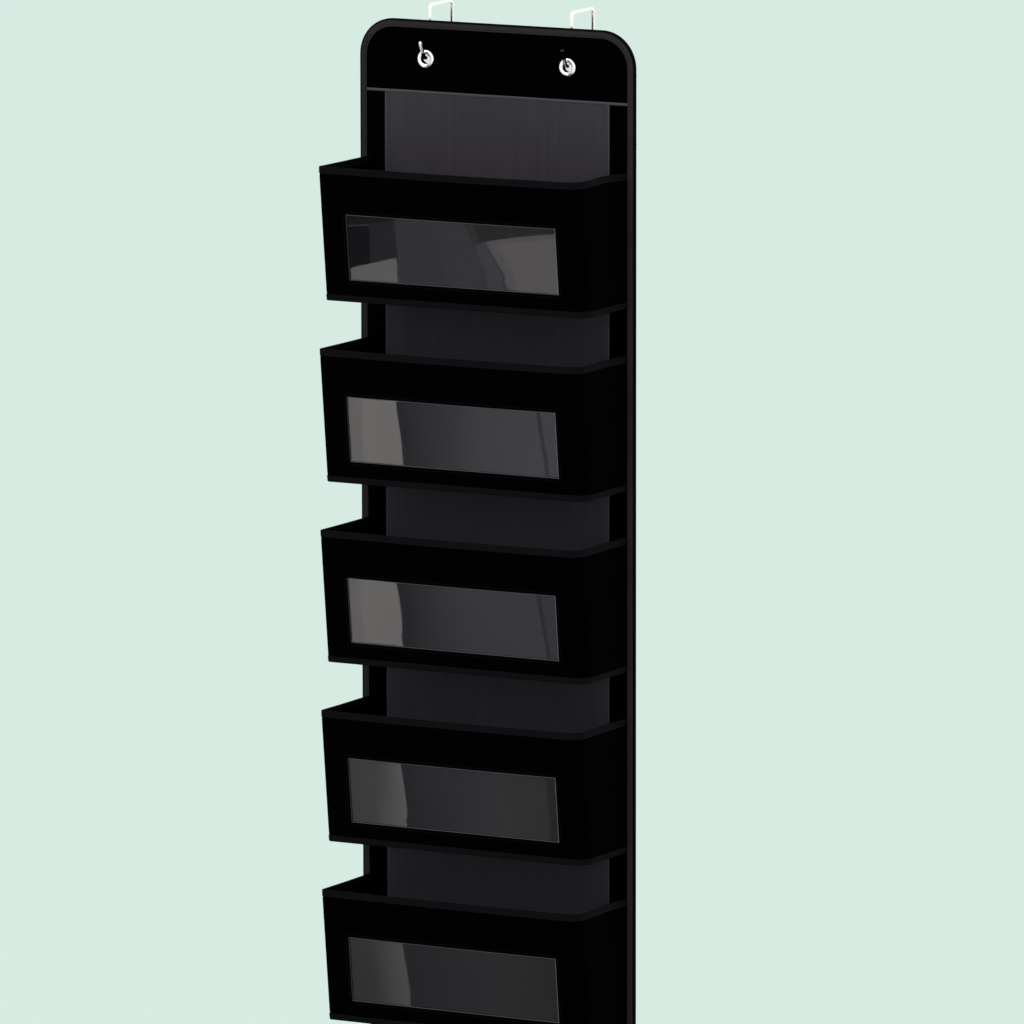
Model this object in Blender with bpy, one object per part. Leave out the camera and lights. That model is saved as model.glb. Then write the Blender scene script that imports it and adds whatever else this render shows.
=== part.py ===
"""Over-the-door hanging organizer: a bound cloth panel with box pockets, hung by its two
eyelets on wire hooks that sit over a door.

Metres, +Z up. +X is to the right as seen from the front and +Y points at the door. The
origin lies on the door's top edge, midway between the hooks, in the door's front face.
"""

import math

import bmesh
import bpy
from mathutils import Vector

# Sizes that several pieces share
CLEARANCE = 0.0003
CLOTH_THICKNESS = 0.0009
TAPE_THICKNESS = 0.0005
CUT_OVERRUN = 0.002
CORNER_STEPS = 8
SMOOTH_ANGLE = 40.0

# The panel that everything is sewn to
PANEL_WIDTH = 0.331
PANEL_CORNER_RADIUS = 0.040
PANEL_FRONT_TO_DOOR = 0.0115
INTERLINING_THICKNESS = 0.0012
BINDING_WIDTH = 0.0081
BINDING_NOSE = 0.0015
NOSE_STEPS = 4

# The header, above the tape that covers its seam
HEADER_HEIGHT = 0.0755
HEADER_TAPE_WIDTH = 0.0035
EYELET_FROM_SIDE = 0.0800
EYELET_BELOW_TOP = 0.0411

# The black strips between the side bindings and the grey centre cloth
SIDE_STRIP_WIDTH = 0.0209

# Pockets, front walls leaning in towards their bases; the lean share is how far the pockets
# lean to the left, for the distance that they stand off the panel
POCKET_COUNT = 5
POCKET_HEIGHT = 0.1462
POCKET_GAP = 0.0503
FIRST_RIM_BELOW_TOP = 0.1491
FOOT_MARGIN = 0.0372
RIM_DEPTH = 0.1069
BASE_DEPTH = 0.0908
WALL_THICKNESS = 0.0013
LEFT_CREASE_RADIUS = 0.0030
RIGHT_CORNER_RADIUS = 0.016
POCKET_LEAN_SHARE = 0.030
RIM_TAPE_HEIGHT = 0.0077
BASE_TAPE_HEIGHT = 0.0067
BASE_TAPE_UNDER = 0.0026
BOARD_THICKNESS = 0.0020
BOARD_CLEARANCE = 0.0010

# The clear window in each front wall, sewn in from behind
WINDOW_FROM_SIDE = 0.02985
WINDOW_BELOW_RIM = 0.0506
WINDOW_ABOVE_BASE = 0.0229
WINDOW_CORNER_RADIUS = 0.0025
WINDOW_SEAM = 0.008
VINYL_THICKNESS = 0.0004

# Pressed metal eyelets, each with a washer at the back
EYELET_HOLE_RADIUS = 0.0050
EYELET_FLANGE_RADIUS = 0.0100
EYELET_DOME_HEIGHT = 0.0021
EYELET_SHEET = 0.0006
EYELET_CURL_RADIUS = 0.0010
WASHER_THICKNESS = 0.0006
DOME_STEPS = 8
CURL_STEPS = 6
TURN_STEPS = 28

# Wire hooks over the door
WIRE_RADIUS = 0.0020
HOOK_BEND_RADIUS = 0.0085
TIP_LENGTH = 0.0160
TIP_LEAN = 25.0
EYELET_BELOW_DOOR_TOP = 0.055
DOOR_GAP = 0.045
BRIDGE_BEND_RADIUS = 0.0040
REAR_LEG_LENGTH = 0.045
WIRE_SIDES = 12
HOOK_BEND_STEPS = 20
BRIDGE_BEND_STEPS = 6
TIP_STEPS = 3

# Sizes that follow from the ones above
POCKET_PITCH = POCKET_HEIGHT + POCKET_GAP
PANEL_HEIGHT = FIRST_RIM_BELOW_TOP + POCKET_PITCH * (POCKET_COUNT - 1) + POCKET_HEIGHT + FOOT_MARGIN
PANEL_SIDE = PANEL_WIDTH / 2
TAPE_PROUD = CLEARANCE + TAPE_THICKNESS
POCKET_SIDE = PANEL_SIDE - BINDING_WIDTH - CLEARANCE - TAPE_PROUD
CENTRE_CLOTH_SIDE = PANEL_SIDE - BINDING_WIDTH - SIDE_STRIP_WIDTH
WINDOW_SIDE = POCKET_SIDE - WINDOW_FROM_SIDE
WINDOW_FOOT = POCKET_HEIGHT - WINDOW_ABOVE_BASE
BASE_CLOTH_FOOT = POCKET_HEIGHT - TAPE_PROUD
WALL_FOOT = BASE_CLOTH_FOOT - CLOTH_THICKNESS - CLEARANCE
EYELET_SIDE = PANEL_SIDE - EYELET_FROM_SIDE
EYELETS = {"left": -EYELET_SIDE, "right": EYELET_SIDE}

# Planes that follow too, from the front of the panel to its back and from its top down
PANEL_FRONT = -PANEL_FRONT_TO_DOOR
INTERLINING_FRONT = PANEL_FRONT + CLOTH_THICKNESS + CLEARANCE
BACK_CLOTH_FRONT = INTERLINING_FRONT + INTERLINING_THICKNESS + CLEARANCE
PANEL_BACK = BACK_CLOTH_FRONT + CLOTH_THICKNESS
EYELET_HEIGHT = -EYELET_BELOW_DOOR_TOP
PANEL_TOP = EYELET_HEIGHT + EYELET_BELOW_TOP
PANEL_BOTTOM = PANEL_TOP - PANEL_HEIGHT
HEADER_SEAM = PANEL_TOP - HEADER_HEIGHT - HEADER_TAPE_WIDTH / 2


def clear_scene():
    """Removes whatever the scene held."""
    for leftover in list(bpy.data.objects):
        bpy.data.objects.remove(leftover)


def finish(name, colour, roughness, metallic=0.0, alpha=1.0):
    """A plain Principled material."""
    material = bpy.data.materials.new(name)
    material.use_nodes = True
    shader = material.node_tree.nodes["Principled BSDF"]
    shader.inputs["Base Color"].default_value = (*colour, 1.0)
    shader.inputs["Roughness"].default_value = roughness
    shader.inputs["Metallic"].default_value = metallic
    shader.inputs["Alpha"].default_value = alpha
    return material


def place(name, mesh, parent, material=None):
    """Links one object for a mesh; its own origin is its parent's."""
    thing = bpy.data.objects.new(name, mesh)
    bpy.context.scene.collection.objects.link(thing)
    thing.parent = parent
    if material:
        thing.data.materials.append(material)
    return thing


def empty_at(name, point, parent=None):
    """An empty that carries pieces; its place is given in its parent's frame."""
    empty = place(name, None, parent)
    empty.location = point
    return empty


def mesh_from(name, shape):
    """Turns a bmesh into a mesh whose faces point outwards."""
    bmesh.ops.recalc_face_normals(shape, faces=shape.faces)
    mesh = bpy.data.meshes.new(name)
    shape.to_mesh(mesh)
    shape.free()
    mesh.shade_smooth()
    mesh.set_sharp_from_angle(angle=math.radians(SMOOTH_ANGLE))
    return mesh


def arc(centre, radius, start, end, steps):
    """Points along an arc in a plane, between two angles in degrees."""
    points = []
    for step in range(steps + 1):
        angle = math.radians(start + (end - start) * step / steps)
        across = centre[0] + radius * math.cos(angle)
        up = centre[1] + radius * math.sin(angle)
        points.append((across, up))
    return points


def nose(middle, half_width, depth):
    """The rounded fold of a tape: half an ellipse across its middle, with the fold at -depth."""
    points = []
    for step in range(NOSE_STEPS + 1):
        angle = math.pi * step / NOSE_STEPS
        points.append((middle - half_width * math.cos(angle), -depth * math.sin(angle)))
    return points


def skin(name, rings, closed):
    """Joins rings of points by faces; an open run gets a cap at each end."""
    shape = bmesh.new()
    rows = [[shape.verts.new(point) for point in ring] for ring in rings]
    pairs = list(zip(rows, rows[1:]))
    if closed:
        pairs.append((rows[-1], rows[0]))
    else:
        shape.faces.new(rows[0])
        shape.faces.new(rows[-1])
    count = len(rows[0])
    for one, two in pairs:
        for here in range(count):
            there = (here + 1) % count
            shape.faces.new((one[here], one[there], two[there], two[here]))
    return mesh_from(name, shape)


def extrude(name, corners, travel):
    """A flat outline of points in space, extruded along one vector."""
    shape = bmesh.new()
    face = shape.faces.new([shape.verts.new(corner) for corner in corners])
    grown = bmesh.ops.extrude_face_region(shape, geom=[face])
    moved = [item for item in grown["geom"] if isinstance(item, bmesh.types.BMVert)]
    bmesh.ops.translate(shape, verts=moved, vec=travel)
    return mesh_from(name, shape)


def sheet(name, outline, front, thickness):
    """An upright sheet, from its outline in X and Z and the Y of its front."""
    corners = [(x, front, z) for x, z in outline]
    return extrude(name, corners, (0, thickness, 0))


def cut(thing, cutter):
    """Takes the cutter's shape out of a piece."""
    boolean = thing.modifiers.new("cut", "BOOLEAN")
    boolean.operation = "DIFFERENCE"
    boolean.solver = "EXACT"
    boolean.object = cutter


def as_cutter(thing):
    """Marks an object that only shapes others."""
    thing.hide_render = True
    thing.display_type = "WIRE"
    return thing


def panel_outline(inset):
    """The whole panel's outline in X and Z, drawn in by an inset."""
    side = PANEL_SIDE - PANEL_CORNER_RADIUS
    low = PANEL_BOTTOM + PANEL_CORNER_RADIUS
    high = PANEL_TOP - PANEL_CORNER_RADIUS
    radius = PANEL_CORNER_RADIUS - inset
    points = arc((-side, low), radius, 180, 270, CORNER_STEPS)
    points += arc((side, low), radius, 270, 360, CORNER_STEPS)
    points += arc((side, high), radius, 0, 90, CORNER_STEPS)
    points += arc((-side, high), radius, 90, 180, CORNER_STEPS)
    return points


def header_outline(inset, bottom):
    """The panel's outline above a given height."""
    above = [point for point in panel_outline(inset) if point[1] > HEADER_SEAM]
    side = PANEL_SIDE - inset
    return [(-side, bottom), (side, bottom)] + above


def body_outline(inset, top):
    """The panel's outline below a given height."""
    below = [point for point in panel_outline(inset) if point[1] < HEADER_SEAM]
    side = PANEL_SIDE - inset
    return below + [(side, top), (-side, top)]


def foot_at(x, inset):
    """The height of the panel's lower edge at a given X, drawn in by an inset."""
    past = max(abs(x) - PANEL_SIDE + PANEL_CORNER_RADIUS, 0)
    radius = PANEL_CORNER_RADIUS - inset
    return PANEL_BOTTOM + PANEL_CORNER_RADIUS - math.sqrt(radius ** 2 - past ** 2)


def strip_outline(side):
    """A black strip beside the centre cloth; side is -1 for the left one and 1 for the right."""
    inset = BINDING_NOSE + CLEARANCE
    top = HEADER_SEAM - CLEARANCE / 2
    inner = CENTRE_CLOTH_SIDE + CLEARANCE
    outer = [point for point in body_outline(inset, top) if point[0] * side > inner]
    foot = (side * inner, foot_at(inner, inset))
    head = (side * inner, top)
    if side > 0:
        return [foot] + outer + [head]
    return outer[:-1] + [foot, head] + outer[-1:]


def edge_binding():
    """A folded tape of U section, sewn round the edge of the whole panel."""
    front = PANEL_FRONT - CLEARANCE
    back = PANEL_BACK + CLEARANCE
    middle = (front + back) / 2
    reach = (back - front) / 2 + TAPE_THICKNESS
    profile = [(BINDING_NOSE + rise, y) for y, rise in nose(middle, reach, BINDING_NOSE)]
    profile += [(BINDING_WIDTH, back + TAPE_THICKNESS), (BINDING_WIDTH, back)]
    profile += [(BINDING_NOSE, back), (BINDING_NOSE, front)]
    profile += [(BINDING_WIDTH, front), (BINDING_WIDTH, front - TAPE_THICKNESS)]
    tracks = [[(x, y, z) for x, z in panel_outline(inset)] for inset, y in profile]
    return skin("edge_binding", list(zip(*tracks)), closed=True)


def header_tape():
    """The light tape over the seam at the header's foot, between the side bindings."""
    side = PANEL_SIDE - BINDING_WIDTH - CLEARANCE
    high = HEADER_SEAM + HEADER_TAPE_WIDTH / 2
    low = HEADER_SEAM - HEADER_TAPE_WIDTH / 2
    outline = [(-side, low), (side, low), (side, high), (-side, high)]
    return sheet("header_tape", outline, PANEL_FRONT - CLEARANCE - TAPE_THICKNESS, TAPE_THICKNESS)


def centre_cloth():
    """The grey cloth behind the pockets, down to the binding at the foot."""
    inset = BINDING_NOSE + CLEARANCE
    side = CENTRE_CLOTH_SIDE
    top = HEADER_SEAM - CLEARANCE / 2
    foot = foot_at(side, inset)
    lower = [point for point in body_outline(inset, top) if abs(point[0]) < side]
    outline = [(-side, foot)] + lower + [(side, foot), (side, top), (-side, top)]
    return sheet("centre_cloth", outline, PANEL_FRONT, CLOTH_THICKNESS)


def depth_at(drop):
    """How far a pocket's front wall stands off the panel, at a drop below the rim."""
    return RIM_DEPTH - (RIM_DEPTH - BASE_DEPTH) * drop / POCKET_HEIGHT


def leaned(x, y):
    """The X of a point on a pocket once it leans to the left."""
    return x - POCKET_LEAN_SHARE * (PANEL_FRONT - y)


def wall_path(drop, inset):
    """A pocket wall's U in X and Y, from its left rear edge round the front to its right one."""
    side = POCKET_SIDE - inset
    rear = PANEL_FRONT - CLEARANCE
    front = PANEL_FRONT - depth_at(drop) + inset
    left = LEFT_CREASE_RADIUS - inset
    right = RIGHT_CORNER_RADIUS - inset
    path = [(-side, rear)]
    path += arc((left - side, front + left), left, 180, 270, CORNER_STEPS // 2)
    path += arc((side - right, front + right), right, 270, 360, CORNER_STEPS)
    path += [(side, rear)]
    return [(leaned(x, y), y) for x, y in path]


def along_wall(name, profile):
    """Sweeps a section of insets and drops along a pocket's wall; the rim is at Z zero."""
    tracks = [[(x, y, -drop) for x, y in wall_path(drop, inset)] for inset, drop in profile]
    return skin(name, list(zip(*tracks)), closed=False)


def pocket_wall():
    """Front wall and both gussets, one strip of cloth."""
    profile = [(0, TAPE_PROUD), (0, WALL_FOOT)]
    profile += [(WALL_THICKNESS, WALL_FOOT), (WALL_THICKNESS, TAPE_PROUD)]
    return along_wall("pocket_wall", profile)


def rim_tape():
    """A tape folded over the top edge of a pocket's wall."""
    outer = -TAPE_PROUD
    inner = WALL_THICKNESS + TAPE_PROUD
    fold = nose((outer + inner) / 2, (inner - outer) / 2, TAPE_THICKNESS)
    profile = [(inset, TAPE_THICKNESS + rise) for inset, rise in fold]
    profile += [(inner, RIM_TAPE_HEIGHT), (inner - TAPE_THICKNESS, RIM_TAPE_HEIGHT)]
    profile += [(inner - TAPE_THICKNESS, TAPE_THICKNESS), (-CLEARANCE, TAPE_THICKNESS)]
    profile += [(-CLEARANCE, RIM_TAPE_HEIGHT), (outer, RIM_TAPE_HEIGHT)]
    return along_wall("rim_tape", profile)


def base_tape():
    """A tape round the seam between wall and base: one leg up the wall, one under the base."""
    outer = -TAPE_PROUD
    under = POCKET_HEIGHT - TAPE_THICKNESS
    high = POCKET_HEIGHT - BASE_TAPE_HEIGHT
    profile = [(outer, high), (outer, POCKET_HEIGHT), (BASE_TAPE_UNDER, POCKET_HEIGHT)]
    profile += [(BASE_TAPE_UNDER, under), (-CLEARANCE, under), (-CLEARANCE, high)]
    return along_wall("base_tape", profile)


def base_cloth():
    """The cloth that closes a pocket's bottom, out to the wall's outer face."""
    corners = [(x, y, -BASE_CLOTH_FOOT) for x, y in wall_path(BASE_CLOTH_FOOT, 0)]
    return extrude("base_cloth", corners, (0, 0, CLOTH_THICKNESS))


def base_board():
    """The stiff board that lies on a pocket's base cloth, inside the wall."""
    path = wall_path(WALL_FOOT, WALL_THICKNESS + BOARD_CLEARANCE)
    rear = PANEL_FRONT - BOARD_CLEARANCE
    path[0] = (path[0][0], rear)
    path[-1] = (path[-1][0], rear)
    corners = [(x, y, -WALL_FOOT) for x, y in path]
    return extrude("base_board", corners, (0, 0, BOARD_THICKNESS))


def window_opening(grow):
    """The window's outline in X and drop below the rim, grown on every side."""
    radius = WINDOW_CORNER_RADIUS + grow
    side = WINDOW_SIDE - WINDOW_CORNER_RADIUS
    high = WINDOW_BELOW_RIM + WINDOW_CORNER_RADIUS
    low = WINDOW_FOOT - WINDOW_CORNER_RADIUS
    steps = CORNER_STEPS // 2
    points = arc((-side, high), radius, 180, 270, steps)
    points += arc((side, high), radius, 270, 360, steps)
    points += arc((side, low), radius, 0, 90, steps)
    points += arc((-side, low), radius, 90, 180, steps)
    return points


def window_cutter():
    """The hole in a pocket's front wall."""
    front = PANEL_FRONT - RIM_DEPTH - CUT_OVERRUN
    back = PANEL_FRONT - BASE_DEPTH + WALL_THICKNESS + CUT_OVERRUN
    corners = []
    for x, drop in window_opening(0):
        corners.append((leaned(x, PANEL_FRONT - depth_at(drop)), front, -drop))
    return extrude("window_cutter", corners, (0, back - front, 0))


def window_vinyl():
    """Clear vinyl, sewn to the inner face of the front wall and leaning with it."""
    inset = WALL_THICKNESS + CLEARANCE
    corners = []
    for x, drop in window_opening(WINDOW_SEAM):
        y = PANEL_FRONT - depth_at(drop) + inset
        corners.append((leaned(x, y), y, -drop))
    return extrude("window_vinyl", corners, (0, VINYL_THICKNESS, 0))


def pocket(number, carrier, cloth, tape, board, vinyl, meshes):
    """Places one pocket's pieces at its own height; copies share their meshes."""
    below = FIRST_RIM_BELOW_TOP + POCKET_PITCH * (number - 1)
    height = PANEL_TOP - below - carrier.location.z
    rim = empty_at(f"pocket_{number}_rim", (0, -carrier.location.y, height), carrier)
    wall = place(f"pocket_{number}_wall", meshes["wall"], rim, cloth)
    cutter = as_cutter(place(f"window_{number}_cutter", meshes["cutter"], rim))
    cut(wall, cutter)
    place(f"pocket_{number}_rim_tape", meshes["rim"], rim, tape)
    place(f"pocket_{number}_base_tape", meshes["foot"], rim, tape)
    place(f"pocket_{number}_base_cloth", meshes["base"], rim, cloth)
    place(f"pocket_{number}_base_board", meshes["board"], rim, board)
    place(f"pocket_{number}_window", meshes["vinyl"], rim, vinyl)


def eyelet_hole_radius():
    """The hole in the cloths, board and washer, clear of the eyelet's barrel."""
    return EYELET_HOLE_RADIUS + EYELET_SHEET + CLEARANCE


def eyelet_hole_cutter():
    """One cylinder through the whole header at each eyelet."""
    outline = arc((0, EYELET_HEIGHT), eyelet_hole_radius(), 0, 360, TURN_STEPS)[:-1]
    front = PANEL_FRONT - CUT_OVERRUN
    travel = Vector((0, PANEL_BACK + CUT_OVERRUN - front, 0))
    shape = bmesh.new()
    for x in EYELETS.values():
        face = shape.faces.new([shape.verts.new((x + across, front, up)) for across, up in outline])
        grown = bmesh.ops.extrude_face_region(shape, geom=[face])
        moved = [item for item in grown["geom"] if isinstance(item, bmesh.types.BMVert)]
        bmesh.ops.translate(shape, verts=moved, vec=travel)
    return mesh_from("eyelet_holes", shape)


def turned(name, profile):
    """Turns a closed section of radii and Y about the Y axis."""
    rings = []
    for step in range(TURN_STEPS):
        angle = 2 * math.pi * step / TURN_STEPS
        rings.append([(radius * math.cos(angle), y, radius * math.sin(angle)) for radius, y in profile])
    return skin(name, rings, closed=True)


def thicken(path, thickness):
    """A closed section of even thickness about an open path."""
    one_side = []
    other_side = []
    for index, point in enumerate(path):
        before = Vector(path[max(index - 1, 0)])
        after = Vector(path[min(index + 1, len(path) - 1)])
        along = (after - before).normalized()
        across = Vector((-along.y, along.x)) * thickness / 2
        one_side.append(tuple(Vector(point) + across))
        other_side.append(tuple(Vector(point) - across))
    return one_side + other_side[::-1]


def washer_back():
    """The Y of the rear face of the eyelet's washer."""
    return PANEL_BACK + CLEARANCE + WASHER_THICKNESS


def curl_centre():
    """The radius and Y of the middle of the eyelet's rear curl."""
    radius = EYELET_HOLE_RADIUS + EYELET_SHEET / 2 + EYELET_CURL_RADIUS
    return radius, washer_back() + CLEARANCE


def eyelet():
    """Domed flange in front, barrel through the header, end curled over the washer."""
    half = EYELET_SHEET / 2
    outer = EYELET_FLANGE_RADIUS - half
    inner = EYELET_HOLE_RADIUS + half
    start = PANEL_FRONT - CLEARANCE
    rise = EYELET_DOME_HEIGHT - half
    path = []
    for step in range(DOME_STEPS + 1):
        angle = math.pi * step / DOME_STEPS
        radius = (outer + inner) / 2 + (outer - inner) / 2 * math.cos(angle)
        path.append((radius, start - rise * math.sin(angle)))
    path += arc(curl_centre(), EYELET_CURL_RADIUS, 180, 0, CURL_STEPS)
    return turned("eyelet", thicken(path, EYELET_SHEET))


def washer():
    """A flat ring behind the header, under the eyelet's curl."""
    hole = eyelet_hole_radius()
    front = PANEL_BACK + CLEARANCE
    profile = [(hole, front), (EYELET_FLANGE_RADIUS, front)]
    profile += [(EYELET_FLANGE_RADIUS, washer_back()), (hole, washer_back())]
    return turned("washer", profile)


def hook_bend_centre():
    """The Y and Z of the middle of the hook's lower bend: the curl's top rests in the bend."""
    y = -WIRE_RADIUS - HOOK_BEND_RADIUS
    radius, curl_y = curl_centre()
    roll = EYELET_CURL_RADIUS + EYELET_SHEET / 2
    span = HOOK_BEND_RADIUS - WIRE_RADIUS - CLEARANCE - roll
    rise = math.sqrt(span ** 2 - (curl_y - y) ** 2)
    return y, EYELET_HEIGHT + radius + rise


def swing_axis():
    """The Y and Z of the wire's centre where the eyelets bear on it."""
    y, z = hook_bend_centre()
    radius, curl_y = curl_centre()
    towards = Vector((curl_y - y, EYELET_HEIGHT + radius - z)).normalized()
    return y + HOOK_BEND_RADIUS * towards.x, z + HOOK_BEND_RADIUS * towards.y


def hook_route():
    """The wire's centre line in Y and Z, from the front tip to the end of the rear leg."""
    centre = hook_bend_centre()
    bend = arc(centre, HOOK_BEND_RADIUS, TIP_LEAN - 180, 0, HOOK_BEND_STEPS)
    lean = math.radians(TIP_LEAN)
    tip = (bend[0][0] - TIP_LENGTH * math.sin(lean), bend[0][1] + TIP_LENGTH * math.cos(lean))
    turn = BRIDGE_BEND_RADIUS
    high = WIRE_RADIUS - turn
    front = arc((turn - WIRE_RADIUS, high), turn, 180, 90, BRIDGE_BEND_STEPS)
    rear = arc((DOOR_GAP + WIRE_RADIUS - turn, high), turn, 90, 0, BRIDGE_BEND_STEPS)
    foot = (DOOR_GAP + WIRE_RADIUS, -REAR_LEG_LENGTH)
    return [tip] + bend + front + rear + [foot]


def rounded_end(point, away):
    """Centres and radii that close a wire with a half ball, from its pole inwards."""
    rings = []
    for step in range(1, TIP_STEPS + 1):
        angle = math.pi / 2 * step / TIP_STEPS
        back = WIRE_RADIUS * (1 - math.cos(angle))
        rings.append((Vector(point) - away * back, WIRE_RADIUS * math.sin(angle)))
    return rings


def wire_hook():
    """Round wire: tip, bend for the eyelet, leg down the door, bridge and rear leg."""
    route = [Vector(point) for point in hook_route()]
    first = (route[0] - route[1]).normalized()
    last = (route[-1] - route[-2]).normalized()
    stations = rounded_end(route[0], first)
    stations += [(point, WIRE_RADIUS) for point in route[1:-1]]
    stations += rounded_end(route[-1], last)[::-1]
    rings = []
    for index, (point, radius) in enumerate(stations):
        before = stations[max(index - 1, 0)][0]
        after = stations[min(index + 1, len(stations) - 1)][0]
        along = (after - before).normalized()
        ring = []
        for side in range(WIRE_SIDES):
            angle = 2 * math.pi * side / WIRE_SIDES
            out = radius * math.sin(angle)
            ring.append((radius * math.cos(angle), point.x - along.y * out, point.y + along.x * out))
        rings.append(ring)
    return skin("wire_hook", rings, closed=False)


def build_panel(carrier):
    """Cloths, interlining, binding and tape of the panel and its header."""
    black = finish("black_cloth", (0.006, 0.006, 0.007), 0.85)
    grey = finish("grey_cloth", (0.022, 0.021, 0.025), 0.9)
    binding = finish("binding_tape", (0.014, 0.013, 0.014), 0.8)
    pale = finish("seam_tape", (0.055, 0.055, 0.057), 0.8)
    felt = finish("interlining_felt", (0.3, 0.3, 0.3), 0.95)
    inset = BINDING_NOSE + CLEARANCE
    inner = BINDING_WIDTH + CLEARANCE
    above = HEADER_SEAM + CLEARANCE / 2
    below = HEADER_SEAM - CLEARANCE / 2
    header = sheet("header_cloth", header_outline(inset, above), PANEL_FRONT, CLOTH_THICKNESS)
    stiff = sheet("header_board", header_outline(inner, above), INTERLINING_FRONT, INTERLINING_THICKNESS)
    lining = sheet("interlining", body_outline(inner, below), INTERLINING_FRONT, INTERLINING_THICKNESS)
    back = sheet("back_cloth", panel_outline(inset), BACK_CLOTH_FRONT, CLOTH_THICKNESS)
    holes = as_cutter(place("eyelet_hole_cutter", eyelet_hole_cutter(), carrier))
    drilled = [place("header_cloth", header, carrier, black)]
    drilled.append(place("header_board", stiff, carrier, felt))
    drilled.append(place("back_cloth", back, carrier, black))
    for piece in drilled:
        cut(piece, holes)
    place("panel_interlining", lining, carrier, felt)
    place("centre_cloth", centre_cloth(), carrier, grey)
    for name, side in (("left", -1), ("right", 1)):
        strip = sheet(f"{name}_side_strip", strip_outline(side), PANEL_FRONT, CLOTH_THICKNESS)
        place(f"{name}_side_strip", strip, carrier, black)
    place("edge_binding", edge_binding(), carrier, binding)
    place("header_tape", header_tape(), carrier, pale)


def build_pockets(carrier):
    """The column of box pockets."""
    cloth = finish("pocket_cloth", (0.004, 0.004, 0.005), 0.85)
    tape = finish("pocket_tape", (0.01, 0.01, 0.012), 0.8)
    board = finish("base_board", (0.02, 0.02, 0.02), 0.7)
    vinyl = finish("clear_vinyl", (0.8, 0.8, 0.8), 0.1, alpha=0.3)
    meshes = {
        "wall": pocket_wall(),
        "cutter": window_cutter(),
        "rim": rim_tape(),
        "foot": base_tape(),
        "base": base_cloth(),
        "board": base_board(),
        "vinyl": window_vinyl(),
    }
    for number in range(1, POCKET_COUNT + 1):
        pocket(number, carrier, cloth, tape, board, vinyl, meshes)


def build_eyelets(carrier, steel):
    """An eyelet and its washer at each side of the header."""
    flange = eyelet()
    ring = washer()
    for name, x in EYELETS.items():
        spot = (x, -carrier.location.y, EYELET_HEIGHT - carrier.location.z)
        centre = empty_at(f"{name}_eyelet_centre", spot, carrier)
        place(f"{name}_eyelet", flange, centre, steel)
        place(f"{name}_eyelet_washer", ring, centre, steel)


def build_hooks(steel):
    """The two hooks, which the door holds."""
    wire = wire_hook()
    for name, x in EYELETS.items():
        hook = place(f"{name}_door_hook", wire, None, steel)
        hook.location.x = x


def build():
    """The whole organizer; what swings is carried by an empty on the swing's axis."""
    clear_scene()
    steel = finish("bright_steel", (0.62, 0.62, 0.61), 0.2, metallic=1.0)
    y, z = swing_axis()
    axis = empty_at("organizer_swing_axis", (0, y, z))
    ground = empty_at("panel_frame", (0, -y, -z), axis)
    build_panel(ground)
    build_pockets(axis)
    build_eyelets(axis, steel)
    build_hooks(steel)


build()
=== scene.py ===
"""The over-the-door organizer as it looks: black cloth, bound edges, clear windows and bright
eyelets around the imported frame. Metres, +Z up, and +Y points at the door."""

import math
from contextlib import contextmanager

import bpy
import numpy as np
from mathutils import Matrix, Vector, noise


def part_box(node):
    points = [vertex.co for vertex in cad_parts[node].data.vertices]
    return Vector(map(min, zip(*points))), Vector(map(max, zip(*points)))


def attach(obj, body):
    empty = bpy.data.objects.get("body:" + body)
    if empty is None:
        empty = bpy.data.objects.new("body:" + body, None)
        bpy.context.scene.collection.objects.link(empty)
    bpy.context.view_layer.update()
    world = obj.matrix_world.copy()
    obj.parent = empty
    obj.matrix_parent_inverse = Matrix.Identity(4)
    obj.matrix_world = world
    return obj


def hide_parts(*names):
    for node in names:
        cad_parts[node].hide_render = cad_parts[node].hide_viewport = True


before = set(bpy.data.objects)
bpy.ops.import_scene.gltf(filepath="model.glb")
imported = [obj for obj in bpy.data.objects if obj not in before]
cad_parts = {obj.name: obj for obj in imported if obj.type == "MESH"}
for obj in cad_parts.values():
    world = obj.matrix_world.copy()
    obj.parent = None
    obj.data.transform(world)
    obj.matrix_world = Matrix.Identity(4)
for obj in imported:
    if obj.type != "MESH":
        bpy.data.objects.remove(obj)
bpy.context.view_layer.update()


# Camera. It stands to the right of the organizer and a little above its top, far back with a
# long lens, as the photograph was taken.
CAMERA_PLACE = (5.11104, -9.68194, 1.23227)
CAMERA_YAW = math.radians(27.772)
CAMERA_PITCH = math.radians(9.208)
CAMERA_ROLL = math.radians(-0.076)
CAMERA_LENS = 362.54
HALF_PIXEL = 0.5 / 1024
ahead = Vector((
    -math.sin(CAMERA_YAW) * math.cos(CAMERA_PITCH),
    math.cos(CAMERA_YAW) * math.cos(CAMERA_PITCH),
    -math.sin(CAMERA_PITCH),
))
level = Vector((math.cos(CAMERA_YAW), math.sin(CAMERA_YAW), 0))
upright = level.cross(ahead)
right = level * math.cos(CAMERA_ROLL) + upright * math.sin(CAMERA_ROLL)
top = upright * math.cos(CAMERA_ROLL) - level * math.sin(CAMERA_ROLL)
bpy.ops.object.camera_add(location=CAMERA_PLACE)
camera = bpy.context.object
camera.name = "camera"
camera.rotation_euler = Matrix((right, top, -ahead)).transposed().to_euler()
camera.data.lens = CAMERA_LENS
camera.data.sensor_width = 36
camera.data.shift_x = -HALF_PIXEL
camera.data.shift_y = HALF_PIXEL
camera.data.clip_end = 200
bpy.context.scene.camera = camera
bpy.context.scene.view_settings.view_transform = "Standard"


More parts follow.
